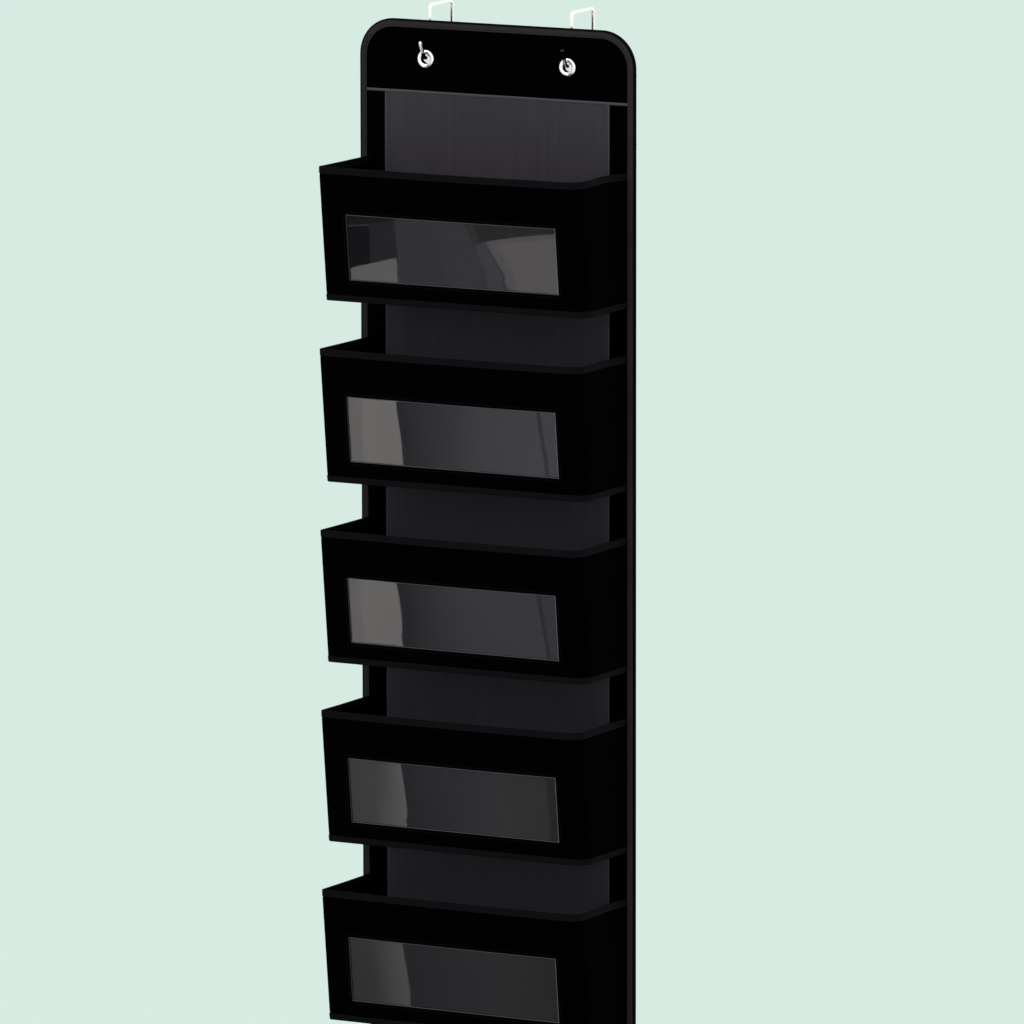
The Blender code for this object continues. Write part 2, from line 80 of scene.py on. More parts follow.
# Studio. A pale floor under the hanging organizer, a soft world all round and three large
# soft lamps. The far floor and the world share one pale colour, so no horizon shows.
BACKDROP = (0.672, 0.824, 0.753, 1)
MIRRORED = (1.12, 1.12, 1.10, 1)
SOFT_LIGHT = (0.96, 0.935, 1.0, 1)
FLOOR_HEIGHT = -1.75
FLOOR_SIZE = 160
FLOOR_GLOW = 1.012
FLOOR_GLOW_SHARE = 0.9


def feed(node, values):
    """Links or writes values to a node's inputs."""
    for name, value in values.items():
        value = getattr(value, "socket", value)
        if isinstance(value, bpy.types.NodeSocket):
            node.id_data.links.new(value, node.inputs[name])
        else:
            node.inputs[name].default_value = value
    return node


def add_node(tree, kind, inputs=None, **settings):
    """A node with its settings and its plain or linked inputs."""
    made = tree.nodes.new("ShaderNode" + kind)
    for name, value in settings.items():
        setattr(made, name, value)
    return feed(made, inputs or {})


class Amount:
    """A number that varies over a surface, for use in ordinary sums."""

    def __init__(self, socket):
        self.socket = socket

    def work(self, operation, *others):
        """One sum with this number first."""
        inputs = dict(enumerate((self, *others)))
        return Amount(add_node(self.socket.id_data, "Math", inputs, operation=operation).outputs[0])

    def __add__(self, other):
        return self.work("ADD", other)

    def __sub__(self, other):
        return self.work("SUBTRACT", other)

    def __rsub__(self, other):
        return self.work("MULTIPLY_ADD", -1.0, other)

    def __mul__(self, other):
        return self.work("MULTIPLY", other)

    def __abs__(self):
        return self.work("ABSOLUTE")

    def larger(self, other):
        """The larger of two numbers."""
        return self.work("MAXIMUM", other)

    def ramp(self, start, width, low=0.0, high=1.0, **settings):
        """The low value below the start, the high one above it, with a slope between."""
        inputs = {0: self, 1: start, 2: start + width, 3: low, 4: high}
        return Amount(add_node(self.socket.id_data, "MapRange", inputs, **settings).outputs[0])


def mixed(share, one, two):
    """A colour between two colours."""
    inputs = {0: share, 6: one, 7: two}
    node = add_node(share.socket.id_data, "Mix", inputs, data_type="RGBA", clamp_factor=False)
    return node.outputs[2]


def seen_directly(tree):
    """1 for what the camera, a mirror or clear vinyl sees, 0 for light that falls on cloth;
    and the pale colour that it sees, which is whiter in a mirror."""
    rays = add_node(tree, "LightPath").outputs
    mirrored = Amount(rays["Is Glossy Ray"])
    seen = mirrored.larger(rays["Is Camera Ray"]).larger(rays["Is Transmission Ray"])
    return seen, mixed(mirrored, BACKDROP, MIRRORED)


def show(tree, output, share, one, two):
    """Puts out the mix of two shaders."""
    both = add_node(tree, "MixShader", {0: share, 1: one.outputs[0], 2: two.outputs[0]})
    add_node(tree, output, {"Surface": both.outputs[0]})


def add_shape(kind, name, **settings):
    """One of Blender's own shapes, alone in the selection, with its name."""
    bpy.ops.object.select_all(action="DESELECT")
    getattr(bpy.ops.mesh, f"primitive_{kind}_add")(**settings)
    bpy.context.object.name = name
    return bpy.context.object


world = bpy.data.worlds.new("pale_studio")
bpy.context.scene.world = world
world.use_nodes = True
air = world.node_tree
air.nodes.clear()
seen, pale = seen_directly(air)
show(air, "OutputWorld", seen, add_node(air, "Background", {"Color": SOFT_LIGHT, "Strength": 1.0}),
     add_node(air, "Background", {"Color": pale, "Strength": 1.0}))

floor = add_shape("plane", "floor", size=FLOOR_SIZE, location=(0, 0, FLOOR_HEIGHT))
paint = bpy.data.materials.new("pale_floor")
paint.use_nodes = True
tree = paint.node_tree
tree.nodes.clear()
seen, pale = seen_directly(tree)
show(tree, "OutputMaterial", seen * FLOOR_GLOW_SHARE,
     add_node(tree, "BsdfDiffuse", {"Color": BACKDROP}),
     add_node(tree, "Emission", {"Color": pale, "Strength": FLOOR_GLOW}))
floor.data.materials.append(paint)

for name, place, aim, size, power in (
    ("key_lamp", (-1.6, -3.6, 2.4), (0, 0, -0.4), 2.2, 42),
    ("top_lamp", (-0.3, -1.6, 2.2), (0, -0.05, 0), 1.6, 14),
    ("side_lamp", (2.6, -3.6, 0.4), (0, 0, -0.6), 1.8, 6),
):
    bpy.ops.object.light_add(type="AREA", location=place)
    lamp = bpy.context.object
    lamp.name = name
    lamp.data.size = size
    lamp.data.energy = power
    lamp.rotation_euler = (Vector(aim) - Vector(place)).to_track_quat("-Z", "Y").to_euler()


# Header cloth. Black woven cloth over a stiff board, above the light tape; its two top
# corners are rounded with the panel, and two eyelets are pressed through it.
CLEARANCE = 0.0003
CLOTH = 0.0009
PANEL_LOW, PANEL_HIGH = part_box("edge_binding")
PANEL_SIDE = PANEL_HIGH.x
PANEL_TOP = PANEL_HIGH.z
PANEL_BOTTOM = PANEL_LOW.z
PANEL_MIDDLE = (PANEL_TOP + PANEL_BOTTOM) / 2
PANEL_HALF_HEIGHT = (PANEL_TOP - PANEL_BOTTOM) / 2
PANEL_CORNER = 0.040
PANEL_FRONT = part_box("centre_cloth")[0].y
CLOTH_INSET = PANEL_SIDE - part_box("header_cloth")[1].x
HEADER_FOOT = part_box("header_cloth")[0].z
HEADER_CELL = 0.006
PANEL_CELL = 0.012
FLANGE = 0.010
EYELET_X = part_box("right_eyelet")[1].x - FLANGE
EYELET_Z = (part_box("right_eyelet")[0].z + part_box("right_eyelet")[1].z) / 2
EYELET_HOLE = 0.0059
HEADER_SWELL = 0.0005
PRESSED_IN = 0.013
PUCKER = 0.00035
PUCKER_RADIUS = 0.017
PUCKER_WIDTH = 0.006
BLACK = (0.0005, 0.0005, 0.0007, 1)
BLACK_GAP = (0.0002, 0.0002, 0.0003, 1)
BLACK_THREAD = 0.0007
UPRIGHT = (math.pi / 2, 0, 0)
SIDES = (("left", -1), ("right", 1))


def select_only(thing):
    """Leaves one object selected and active, out of edit mode."""
    if bpy.context.object and bpy.context.object.mode != "OBJECT":
        bpy.ops.object.mode_set(mode="OBJECT")
    bpy.ops.object.select_all(action="DESELECT")
    thing.select_set(True)
    bpy.context.view_layer.objects.active = thing


@contextmanager
def editing(piece):
    """Edits one object, with its whole mesh selected at the start."""
    select_only(piece)
    bpy.ops.object.mode_set(mode="EDIT")
    bpy.ops.mesh.select_all(action="SELECT")
    yield
    bpy.ops.object.mode_set(mode="OBJECT")


def settle(thing):
    """Puts an object's place, turn and scale into its mesh."""
    select_only(thing)
    bpy.ops.object.transform_apply(location=True, rotation=True, scale=True)


def apply_modifier(thing, kind, **settings):
    """Adds one modifier and applies it."""
    select_only(thing)
    made = thing.modifiers.new(kind.lower(), kind)
    for name, value in settings.items():
        setattr(made, name, value)
    bpy.ops.object.modifier_apply(modifier=made.name)
    return thing


def points_of(thing):
    """The mesh's points as an array of rows."""
    found = np.empty(len(thing.data.vertices) * 3)
    thing.data.vertices.foreach_get("co", found)
    return found.reshape(-1, 3)


def move_points(thing, points):
    """Writes the mesh's points back."""
    thing.data.vertices.foreach_set("co", points.astype(np.float32).ravel())
    thing.data.update()


def map_flat(thing, across, along):
    """A UV map in metres of cloth, from one pair of numbers for each of the mesh's points."""
    layer = thing.data.uv_layers.active or thing.data.uv_layers.new(name="cut")
    layer.name = "cut"
    corners = np.empty(len(thing.data.loops), dtype=int)
    thing.data.loops.foreach_get("vertex_index", corners)
    both = np.stack([across[corners], along[corners]], axis=1)
    layer.data.foreach_set("uv", both.astype(np.float32).ravel())


def swell(points, size, seed):
    """Slow, even noise from -1 to 1 at each point, the same on every run."""
    shift = Vector((seed, 7.3 * seed, 1.7))
    return np.array([noise.noise(Vector(p) / size + shift) for p in points])


def pushed(points, size, seed):
    """The same noise from 0 to 1, for cloth that never sinks into what is behind it."""
    return (0.5 + 0.5 * swell(points, size, seed)).clip(0, 1)


def rounded_panel(name, y, inset):
    """The panel's rounded outline as one upright face at a depth, drawn in by an inset."""
    piece = add_shape("plane", name, size=1, location=(0, y, PANEL_MIDDLE), rotation=UPRIGHT)
    piece.scale = (2 * (PANEL_SIDE - inset), 2 * (PANEL_HALF_HEIGHT - inset), 1)
    settle(piece)
    with editing(piece):
        bpy.ops.mesh.bevel(offset=PANEL_CORNER - inset, segments=14, profile=0.5, affect="VERTICES")
    return piece


def slice_mesh(place, normal, **clear):
    """One straight cut through everything; it can clear what lies on one side."""
    bpy.ops.mesh.select_all(action="SELECT")
    bpy.ops.mesh.bisect(plane_co=place, plane_no=normal, threshold=1e-6, **clear)


def cut_evenly(normal, start, end, count):
    """Straight cuts that divide a length into even parts."""
    for step in range(1, count):
        slice_mesh(Vector(normal) * (start + (end - start) * step / count), normal)


def cut_grid(left, right_side, low, high, cell):
    """Straight cuts both ways, so that the cloth can move between them."""
    cut_evenly((1, 0, 0), left, right_side, round((right_side - left) / cell))
    cut_evenly((0, 0, 1), low, high, round((high - low) / cell))


def panel_cloth(name, left, right_side, low, high, y, cell):
    """A piece of the panel's face, trimmed from the rounded outline and cut into a grid."""
    piece = rounded_panel(name, y, CLOTH_INSET)
    with editing(piece):
        slice_mesh((left, 0, 0), (1, 0, 0), clear_inner=True)
        slice_mesh((right_side, 0, 0), (1, 0, 0), clear_outer=True)
        slice_mesh((0, 0, low), (0, 0, 1), clear_inner=True)
        slice_mesh((0, 0, high), (0, 0, 1), clear_outer=True)
        cut_grid(left, right_side, low, high, cell)
    return piece


def thicken(piece, thickness):
    """Gives a sheet its thickness, away from the side that it faces."""
    return apply_modifier(piece, "SOLIDIFY", thickness=thickness, offset=-1, use_even_offset=True)


def smooth(piece, degrees=50):
    """Soft shading with sharp folds left sharp."""
    select_only(piece)
    bpy.ops.object.shade_smooth_by_angle(angle=math.radians(degrees))


def new_material(name):
    """A material, its node tree and its shader."""
    made = bpy.data.materials.new(name)
    made.use_nodes = True
    return made, made.node_tree, made.node_tree.nodes["Principled BSDF"]


def cut_places(tree):
    """Places on the cloth as it was cut, in metres."""
    return add_node(tree, "UVMap", uv_map="cut").outputs[0]


def parts_of(place):
    """The three numbers of a place."""
    split = add_node(place.id_data, "SeparateXYZ", {0: place})
    return [Amount(part) for part in split.outputs]


def grain(place, scale, detail):
    """Noise from 0 to 1 at a place."""
    inputs = {"Vector": place, "Scale": scale, "Detail": detail}
    return Amount(add_node(place.id_data, "TexNoise", inputs).outputs["Fac"])


def bumped(height, strength, distance):
    """The surface's normal where a height roughens it."""
    inputs = {"Height": height, "Strength": strength, "Distance": distance}
    return add_node(height.socket.id_data, "Bump", inputs).outputs[0]


def toned(colour, share):
    """A colour made lighter or darker."""
    return tuple(part * share for part in colour[:3]) + (1,)


def banded(cut, colour, edge):
    """Darkens or lightens a colour in a band along U: where it starts and ends, and how much."""
    start, end, low, high = edge
    away = abs(parts_of(cut)[0])
    gain = away.ramp(start, end - start, low, high, interpolation_type="SMOOTHSTEP")
    inputs = {0: colour, "Scale": gain}
    return add_node(cut.id_data, "VectorMath", inputs, operation="SCALE").outputs[0]


def textile(name, colours, pattern, thread, relief, roughness, specular, sheen, streak, edge):
    """A textile on a UV map in metres, with its ridges, loose fibres and worn places."""
    made, tree, shader = new_material(name)
    cut = cut_places(tree)
    ridges = pattern(cut, thread)
    fibre = grain(cut, 1900.0, 3.0)
    drawn_out = add_node(tree, "Mapping", {"Vector": cut, "Scale": (150.0, 7.0, 1.0)}).outputs[0]
    worn = (grain(cut, 24.0, 4.0) - 0.5) * 0.4 + (grain(drawn_out, 1.0, 3.0) - 0.5) * streak
    colour = mixed(ridges * 0.6 + 0.4 + worn, colours[1], colours[0])
    feed(shader, {
        "Base Color": banded(cut, colour, edge) if edge else colour,
        "Normal": bumped(fibre * 0.5 + ridges, 0.6, relief),
        "Roughness": fibre * 0.1 + (roughness - 0.05),
        "Specular IOR Level": specular, "Sheen Weight": sheen, "Sheen Roughness": 0.5,
    })
    return made


def waves(along, length):
    """Round ridges of one length."""
    return abs((along * (math.pi / length)).work("SINE"))


def plain_weave(cut, thread):
    """Threads that pass over and under each other."""
    across, along, _ = parts_of(cut)
    over = add_node(cut.id_data, "TexChecker", {"Vector": cut, "Scale": 1 / thread}).outputs["Fac"]
    inputs = {0: over, 2: waves(across, thread), 3: waves(along, thread)}
    return Amount(add_node(cut.id_data, "Mix", inputs, data_type="FLOAT").outputs[0])


def woven(name, colours, thread, specular=0.005, sheen=0.001, streak=0.0, edge=None):
    """Plain woven cloth."""
    return textile(name, colours, plain_weave, thread, 0.00012, 0.9, specular, sheen, streak, edge)


def dress(piece, material, node=None, body="organizer"):
    """Finishes a piece: gives it its material, hides the CAD node that it stands for and hangs it
    on its body.
    """
    piece.data.materials.clear()
    piece.data.materials.append(material)
    if node:
        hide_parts(node)
    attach(piece, body)
    return piece


def punch(piece, x, z, radius):
    """Cuts one round hole right through a sheet."""
    cutter = add_shape("cylinder", "cutter", vertices=40, radius=radius, depth=0.03,
                       location=(x, PANEL_FRONT, z), rotation=UPRIGHT)
    apply_modifier(piece, "BOOLEAN", operation="DIFFERENCE", solver="EXACT", object=cutter)
    bpy.data.objects.remove(cutter)


black_cloth = woven("black_cloth", (BLACK, BLACK_GAP), BLACK_THREAD)
header = panel_cloth("header", -PANEL_SIDE, PANEL_SIDE, HEADER_FOOT, PANEL_TOP, PANEL_FRONT,
                     HEADER_CELL)
points = points_of(header)
lift = HEADER_SWELL * (0.5 + 0.5 * swell(points, 0.05, 3.0))
for _, side in SIDES:
    across, up = points[:, 0] - side * EYELET_X, points[:, 2] - EYELET_Z
    around = np.hypot(across, up)
    folds = 0.5 + 0.5 * np.sin(5 * np.arctan2(up, across) + side)
    lift *= 1 - np.exp(-((around / PRESSED_IN) ** 2))
    lift += PUCKER * np.exp(-(((around - PUCKER_RADIUS) / PUCKER_WIDTH) ** 2)) * folds
points[:, 1] -= lift
move_points(header, points)
map_flat(header, points[:, 0], points[:, 2])
thicken(header, CLOTH)
for _, side in SIDES:
    punch(header, side * EYELET_X, EYELET_Z, EYELET_HOLE)
smooth(header)
dress(header, black_cloth, "header_cloth")


# Panel face below the header. A dark grey centre cloth with two black strips beside it, all
# caught under the header tape at the top and the binding at the sides and foot.
SEAM_SHIFT = 0.0010
CENTRE_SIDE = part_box("centre_cloth")[1].x - SEAM_SHIFT
STRIP_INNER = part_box("right_side_strip")[0].x - SEAM_SHIFT
STRIP_CELL = 0.009
FACE_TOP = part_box("centre_cloth")[1].z
GREY = (0.0425, 0.0395, 0.0460, 1)
GREY_GAP = (0.0270, 0.0250, 0.0300, 1)
GREY_THREAD = 0.0008
GREY_EDGE = (CENTRE_SIDE - 0.0022, CENTRE_SIDE - 0.0010, 1.0, 1.35)


def face_cloth(name, ends, cell, depth, size, seed, material, node):
    """Cloth from the panel's foot to the header, which stands forward in slow swells."""
    piece = panel_cloth(name, *ends, PANEL_BOTTOM, FACE_TOP, PANEL_FRONT, cell)
    points = points_of(piece)
    points[:, 1] -= depth * pushed(points, size, seed)
    move_points(piece, points)
    map_flat(piece, points[:, 0], points[:, 2])
    smooth(thicken(piece, CLOTH))
    return dress(piece, material, node)


grey_cloth = woven("grey_cloth", (GREY, GREY_GAP), GREY_THREAD, specular=0.03, sheen=0.006,
                   streak=0.9, edge=GREY_EDGE)
centre = face_cloth("centre_panel", (-CENTRE_SIDE, CENTRE_SIDE), PANEL_CELL, 0.0007, 0.09, 5.0,
                    grey_cloth, "centre_cloth")
for name, side in SIDES:
    strip = face_cloth(f"{name}_strip", sorted((side * STRIP_INNER, side * PANEL_SIDE)), STRIP_CELL,
                       0.0006, 0.07, 8.0 + side, black_cloth, f"{name}_side_strip")


# Back cloth. One plain black cloth over the whole back, with the eyelets' holes in it. It
# swells a little towards the door, but not round the eyelets.
BACK_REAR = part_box("back_cloth")[1].y
BACK_SWELL = 0.0008
BACK_HELD = 0.012
BACK_FREED = 0.03


def flip(piece):
    """Turns all faces of a piece round."""
    with editing(piece):
        bpy.ops.mesh.flip_normals()


back = panel_cloth("back", -PANEL_SIDE, PANEL_SIDE, PANEL_BOTTOM, PANEL_TOP, BACK_REAR, PANEL_CELL)
flip(back)
points = points_of(back)
away = np.hypot(np.abs(points[:, 0]) - EYELET_X, points[:, 2] - EYELET_Z)
free = np.clip((away - BACK_HELD) / BACK_FREED, 0, 1)
points[:, 1] += BACK_SWELL * free * pushed(points, 0.08, 11.0)
move_points(back, points)
map_flat(back, points[:, 0], points[:, 2])
thicken(back, CLOTH)
for _, side in SIDES:
    punch(back, side * EYELET_X, EYELET_Z, EYELET_HOLE)
smooth(back)
dress(back, black_cloth, "back_cloth")


# Inside the panel. A stiff board in the header and a felt interlining below it; neither shows,
# and both keep their solids with a felted finish.
FELT_HAIRS = (700.0, 5.0)


def pressed(name, colour, paler, patches, grains, relief, roughness, specular=0.5):
    """Pressed fibre or board: a fine grain, and patches of a paler tone."""
    made, tree, shader = new_material(name)
    place = add_node(tree, "TexCoord").outputs["Object"]
    feed(shader, {
        "Base Color": mixed(grain(place, *patches), colour, toned(colour, paler)),
        "Normal": bumped(grain(place, *grains), *relief),
        "Roughness": roughness, "Specular IOR Level": specular,
    })
    return made


for node, shade in (("header_board", 0.25), ("panel_interlining", 0.3)):
    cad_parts[node].material_slots[0].material = pressed(
        node + "_felt", (shade, shade, shade, 1), 1.4, FELT_HAIRS, FELT_HAIRS, (0.5, 0.0003), 0.95)


# Edge binding. A ribbed black tape, folded round the whole edge of the panel and sewn through
# with one row of stitches. Painted shade darkens its colour along its folded edges and down
# its left side.
BINDING_WIDTH = 0.0081
TAPE = 0.0005
BINDING_NOSE = 0.0013
BINDING_CELL = 0.010
BINDING_SWELL = 0.00025
BINDING_PROUD = 0.0004
BINDING_TONE = (0.0245, 0.0210, 0.0220, 1)
BINDING_GAP = (0.0134, 0.0115, 0.0122, 1)
STRAIGHT_X = PANEL_SIDE - PANEL_CORNER
STRAIGHT_Z = PANEL_HALF_HEIGHT - PANEL_CORNER
QUARTER = PANEL_CORNER * math.pi / 2
BINDING_FRONT, BINDING_REAR = (corner.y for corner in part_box("edge_binding"))
HALF_FOLD = (BINDING_REAR - BINDING_FRONT) / 2


def edge_place(x, z):
    """How far a point lies inside the panel's outline, and the way along the outline to it,
    from the middle of the foot anticlockwise."""
    up = z - PANEL_MIDDLE
    past_x, past_z = np.abs(x) - STRAIGHT_X, np.abs(up) - STRAIGHT_Z
    corner = (past_x > 0) & (past_z > 0)
    inset = PANEL_CORNER - np.where(corner, np.hypot(past_x, past_z), np.maximum(past_x, past_z))
    turn = np.arctan2(np.maximum(past_x, 0), np.maximum(past_z, 0)) * PANEL_CORNER
    low = np.where(past_z > past_x, np.minimum(np.abs(x), STRAIGHT_X), 0)
    foot = np.where(corner, STRAIGHT_X + turn, low)
    rise = STRAIGHT_X + QUARTER + up + STRAIGHT_Z
    whole = 2 * (STRAIGHT_X + QUARTER + STRAIGHT_Z)
    on_side = (past_x >= past_z) & ~corner
    half = np.where(on_side, rise, np.where(up < 0, foot, whole - foot))
    return inset, np.where(x >= 0, half, 2 * whole - half)


def ribs(cut, rib):
    """Close ribs across a tape, with finer threads along it."""
    across, along, _ = parts_of(cut)
    return waves(across, rib * 0.55) * 0.35 + waves(along, rib)


def ribbed(name, colours, rib, specular, sheen=0.0, edge=None):
    """Woven tape."""
    return textile(name, colours, ribs, rib, 0.0001, 0.8, specular, sheen, 0.0, edge)


@contextmanager
def picking(piece, kind, parts, wanted):
    """Edits one object with only those edges or faces selected that a test picks."""
    with editing(piece):
        bpy.ops.mesh.select_mode(type=kind)
        bpy.ops.mesh.select_all(action="DESELECT")
        bpy.ops.object.mode_set(mode="OBJECT")
        points = points_of(piece)
        for part in getattr(piece.data, parts):
            part.select = bool(wanted(part, points))
        bpy.ops.object.mode_set(mode="EDIT")
        yield


def picking_edges(piece, wanted):
    """Edits the edges whose two ends pass a test."""
    return picking(piece, "EDGE", "edges",
                   lambda edge, points: all(wanted(points[end]) for end in edge.vertices))


def delete_faces(piece, wanted):
    """Deletes the faces whose middle and normal pass a test."""
    with picking(piece, "FACE", "polygons", lambda face, _: wanted(face.center, face.normal)):
        bpy.ops.mesh.delete(type="FACE")


def extrude(way):
    """Draws what is selected out along a way."""
    bpy.ops.mesh.extrude_region_move(TRANSFORM_OT_translate={"value": way})


def face_outwards(merged=0.0):
    """Turns all faces of the mesh outwards, after merging points closer than a distance."""
    bpy.ops.mesh.select_all(action="SELECT")
    if merged:
        bpy.ops.mesh.remove_doubles(threshold=merged)
    bpy.ops.mesh.normals_make_consistent(inside=False)


# Painted shade: the tape's colour falls to 0.08 along its folded outer edge, where the fold turns
# away from the light.
binding_tape = ribbed("binding_tape", (BINDING_TONE, BINDING_GAP), 0.0011, 0.02,
                      edge=(HALF_FOLD + 0.0012, HALF_FOLD + 0.0025, 0.08, 1.0))
tree = binding_tape.node_tree
shader = tree.nodes["Principled BSDF"]
# Painted shade: the colour darkens to 0.78 within 8 to 14 mm of the panel's left side, and to 0.05
# on its outermost 1 to 1.8 mm there.
inwards = parts_of(add_node(tree, "TexCoord").outputs["Object"])[0] + PANEL_SIDE
shade = inwards.ramp(0.008, 0.006, 0.78) * inwards.ramp(0.0010, 0.0008, 0.05)
tone = shader.inputs["Base Color"].links[0].from_socket
feed(shader, {"Base Color": mixed(shade, (0, 0, 0, 1), tone)})
binding = rounded_panel("binding", BINDING_FRONT, 0)
with editing(binding):
    bpy.ops.mesh.inset(thickness=BINDING_WIDTH, depth=0)
    bpy.ops.mesh.delete(type="FACE")
    bpy.ops.mesh.select_all(action="SELECT")
    extrude((0, BINDING_REAR - BINDING_FRONT, 0))
    face_outwards()
delete_faces(binding, lambda middle, normal: abs(normal.y) < 0.5
             and edge_place(middle.x, middle.z)[0] > BINDING_WIDTH / 2)
with picking(binding, "EDGE", "edges", lambda edge, points: max(
        edge_place(points[end][0], points[end][2])[0] for end in edge.vertices) < 1e-4
        and abs(points[edge.vertices[0]][1] - points[edge.vertices[1]][1]) < 1e-5):
    bpy.ops.mesh.bevel(offset=BINDING_NOSE, segments=5, profile=0.5, affect="EDGES")
    cut_grid(-STRAIGHT_X, STRAIGHT_X, PANEL_MIDDLE - STRAIGHT_Z, PANEL_MIDDLE + STRAIGHT_Z,
             BINDING_CELL)
points = points_of(binding)
x, up = points[:, 0].copy(), points[:, 2] - PANEL_MIDDLE
inset, travel = edge_place(x, points[:, 2])
leg = np.clip(inset / BINDING_WIDTH, 0, 1)
outward = np.sign(points[:, 1] - (BINDING_FRONT + BINDING_REAR) / 2)
points[:, 1] += outward * BINDING_SWELL * leg * (1 + swell(points, 0.03, 21.0))
proud = BINDING_PROUD * np.clip(1 - inset / 0.004, 0, 1)
points[:, 0] += proud * np.sign(x) * (np.abs(x) > STRAIGHT_X)
points[:, 2] += proud * np.sign(up) * (np.abs(up) > STRAIGHT_Z)
move_points(binding, points)
map_flat(binding, -outward * (inset + HALF_FOLD), travel)
smooth(thicken(binding, TAPE), 60)
dress(binding, binding_tape, "edge_binding")


# Header tape. A narrow grey tape across the foot of the header, over the seam, from one side
# binding to the other.
TAPE_LOW, TAPE_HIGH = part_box("header_tape")
TAPE_HEIGHT = 0.0027
TAPE_CROWN = 0.0003
TAPE_WANDER = 0.00015
TAPE_MIDDLE = (TAPE_LOW.z + TAPE_HIGH.z) / 2 + 0.0002
SEAM_TONE = (0.062, 0.062, 0.064, 1)
SEAM_GAP = (0.036, 0.036, 0.038, 1)

seam_tape = ribbed("seam_tape", (SEAM_TONE, SEAM_GAP), 0.0009, 0.08, sheen=0.01)
tape = add_shape("grid", "seam_cover", x_subdivisions=60, y_subdivisions=6, size=1,
                 rotation=UPRIGHT, location=(0, TAPE_LOW.y, TAPE_MIDDLE))
tape.scale = (TAPE_HIGH.x - TAPE_LOW.x, TAPE_HEIGHT, 1)
settle(tape)
points = points_of(tape)
rise = (points[:, 2] - TAPE_MIDDLE) / TAPE_HEIGHT * 2
points[:, 1] -= TAPE_CROWN * (1 - rise ** 2)
points[:, 2] += TAPE_WANDER * swell(points, 0.06, 31.0)
move_points(tape, points)
map_flat(tape, points[:, 2], points[:, 0])
smooth(thicken(tape, TAPE))
dress(tape, seam_tape, "header_tape")


# Pocket walls. One strip of black cloth makes a pocket's front and both gussets; it is creased
# at the left corner, turned softly at the right one, and leans in towards the base.
POCKETS = range(1, 6)
POCKET_SIDE = 0.1563
POCKET_HEIGHT = 0.1462
POCKET_DEPTH = 0.1069
BASE_DEPTH = 0.0908
WALL = 0.0013
WALL_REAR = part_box("pocket_1_wall")[1].y
LEFT_CREASE = 0.0030
RIGHT_TURN = 0.016
LEAN_SHARE = 0.030
WALL_TOP_DROP = 0.0008
WALL_FOOT_DROP = 0.1442
WINDOW_SIDE = 0.12645
WINDOW_TRIM = 0.0005
WINDOW_TOP_DROP = 0.0506
WINDOW_FOOT_DROP = 0.1228
RIM_HEIGHTS = [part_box(f"pocket_{n}_rim_tape")[1].z for n in POCKETS]
GUSSET_BOWS = (0.0055, 0.0014, 0.0006, 0.0010, 0.0014)
GUSSET_DIPS = (0.0020, 0.0012, 0.0004, 0.0004, 0.0006)
GUSSET_HOLLOW = 0.021
LEFT_BOW = 0.0006
BELLY = 0.0005
RIM_SAG = 0.0006
POCKET_BLACK = (0.0004, 0.0004, 0.0006, 1)
POCKET_GAP = (0.0002, 0.0002, 0.0003, 1)
FRONT_START = -POCKET_SIDE + LEFT_CREASE
FRONT_LENGTH = 2 * POCKET_SIDE - LEFT_CREASE - RIGHT_TURN


def front_depth(drop):
    """How far the pocket's front stands off the panel at a drop below the rim."""
    return POCKET_DEPTH - (POCKET_DEPTH - BASE_DEPTH) * drop / POCKET_HEIGHT


def wall_spot(number, along, drop, out):
    """Points on one pocket's cloth. along runs 0 to 1 on the left gusset, 1 to 2 round the left
    corner, 2 to 3 on the front, 3 to 4 round the right corner, 4 to 5 on the right gusset."""
    along, drop, out = np.broadcast_arrays(
        np.asarray(along, float), np.asarray(drop, float), np.asarray(out, float))
    front = PANEL_FRONT - front_depth(drop)
    stretch = np.clip(along, 0, 4.999999).astype(int)
    part = along - stretch
    left, right_side = np.radians(180 + 90 * part), np.radians(270 + 90 * part)
    nx = np.choose(stretch, (-1.0, np.cos(left), 0.0, np.cos(right_side), 1.0))
    ny = np.choose(stretch, (0.0, np.sin(left), -1.0, np.sin(right_side), 0.0))
    x = np.choose(stretch, (
        -POCKET_SIDE, FRONT_START + LEFT_CREASE * nx, FRONT_START + FRONT_LENGTH * part,
        POCKET_SIDE - RIGHT_TURN + RIGHT_TURN * nx, POCKET_SIDE))
    y = np.choose(stretch, (
        WALL_REAR + (front + LEFT_CREASE - WALL_REAR) * part, front + LEFT_CREASE * (1 + ny), front,
        front + RIGHT_TURN * (1 + ny),
        front + RIGHT_TURN + (WALL_REAR - front - RIGHT_TURN) * part))
    low = np.clip(drop / POCKET_HEIGHT, 0, 1)
    arch = np.sin(np.pi * np.clip(part, 0, 1))
    hollow = np.clip(WALL_REAR - y, 0, None) / GUSSET_HOLLOW
    hollow = hollow * np.exp(1 - hollow) * np.clip(nx, 0, 1)
    bow = np.where(stretch >= 3, GUSSET_BOWS[number - 1] * hollow, 0)
    bow = bow + np.where(stretch == 0, LEFT_BOW * arch, 0)
    middle = np.where(stretch == 2, arch, 0)
    slack = (np.sin(2 * np.pi * (1.3 * part + 0.21 * number)) * 0.5
             + np.sin(2 * np.pi * (2.6 * part + 0.37 * number)) * 0.3)
    belly = middle * BELLY * (1 + slack) * np.sin(np.pi * np.clip(low + 0.25, 0, 1))
    grown = out - bow * (1 - low) ** 1.1 + belly
    dip = np.where(stretch == 4, GUSSET_DIPS[number - 1] * np.clip(part - 0.55, 0, 1) / 0.45, 0)
    z = RIM_HEIGHTS[number - 1] - drop - (dip + middle * RIM_SAG) * (1 - low)
    y = y + ny * grown
    return np.stack([x + nx * grown - LEAN_SHARE * (PANEL_FRONT - y), y, z], axis=-1)


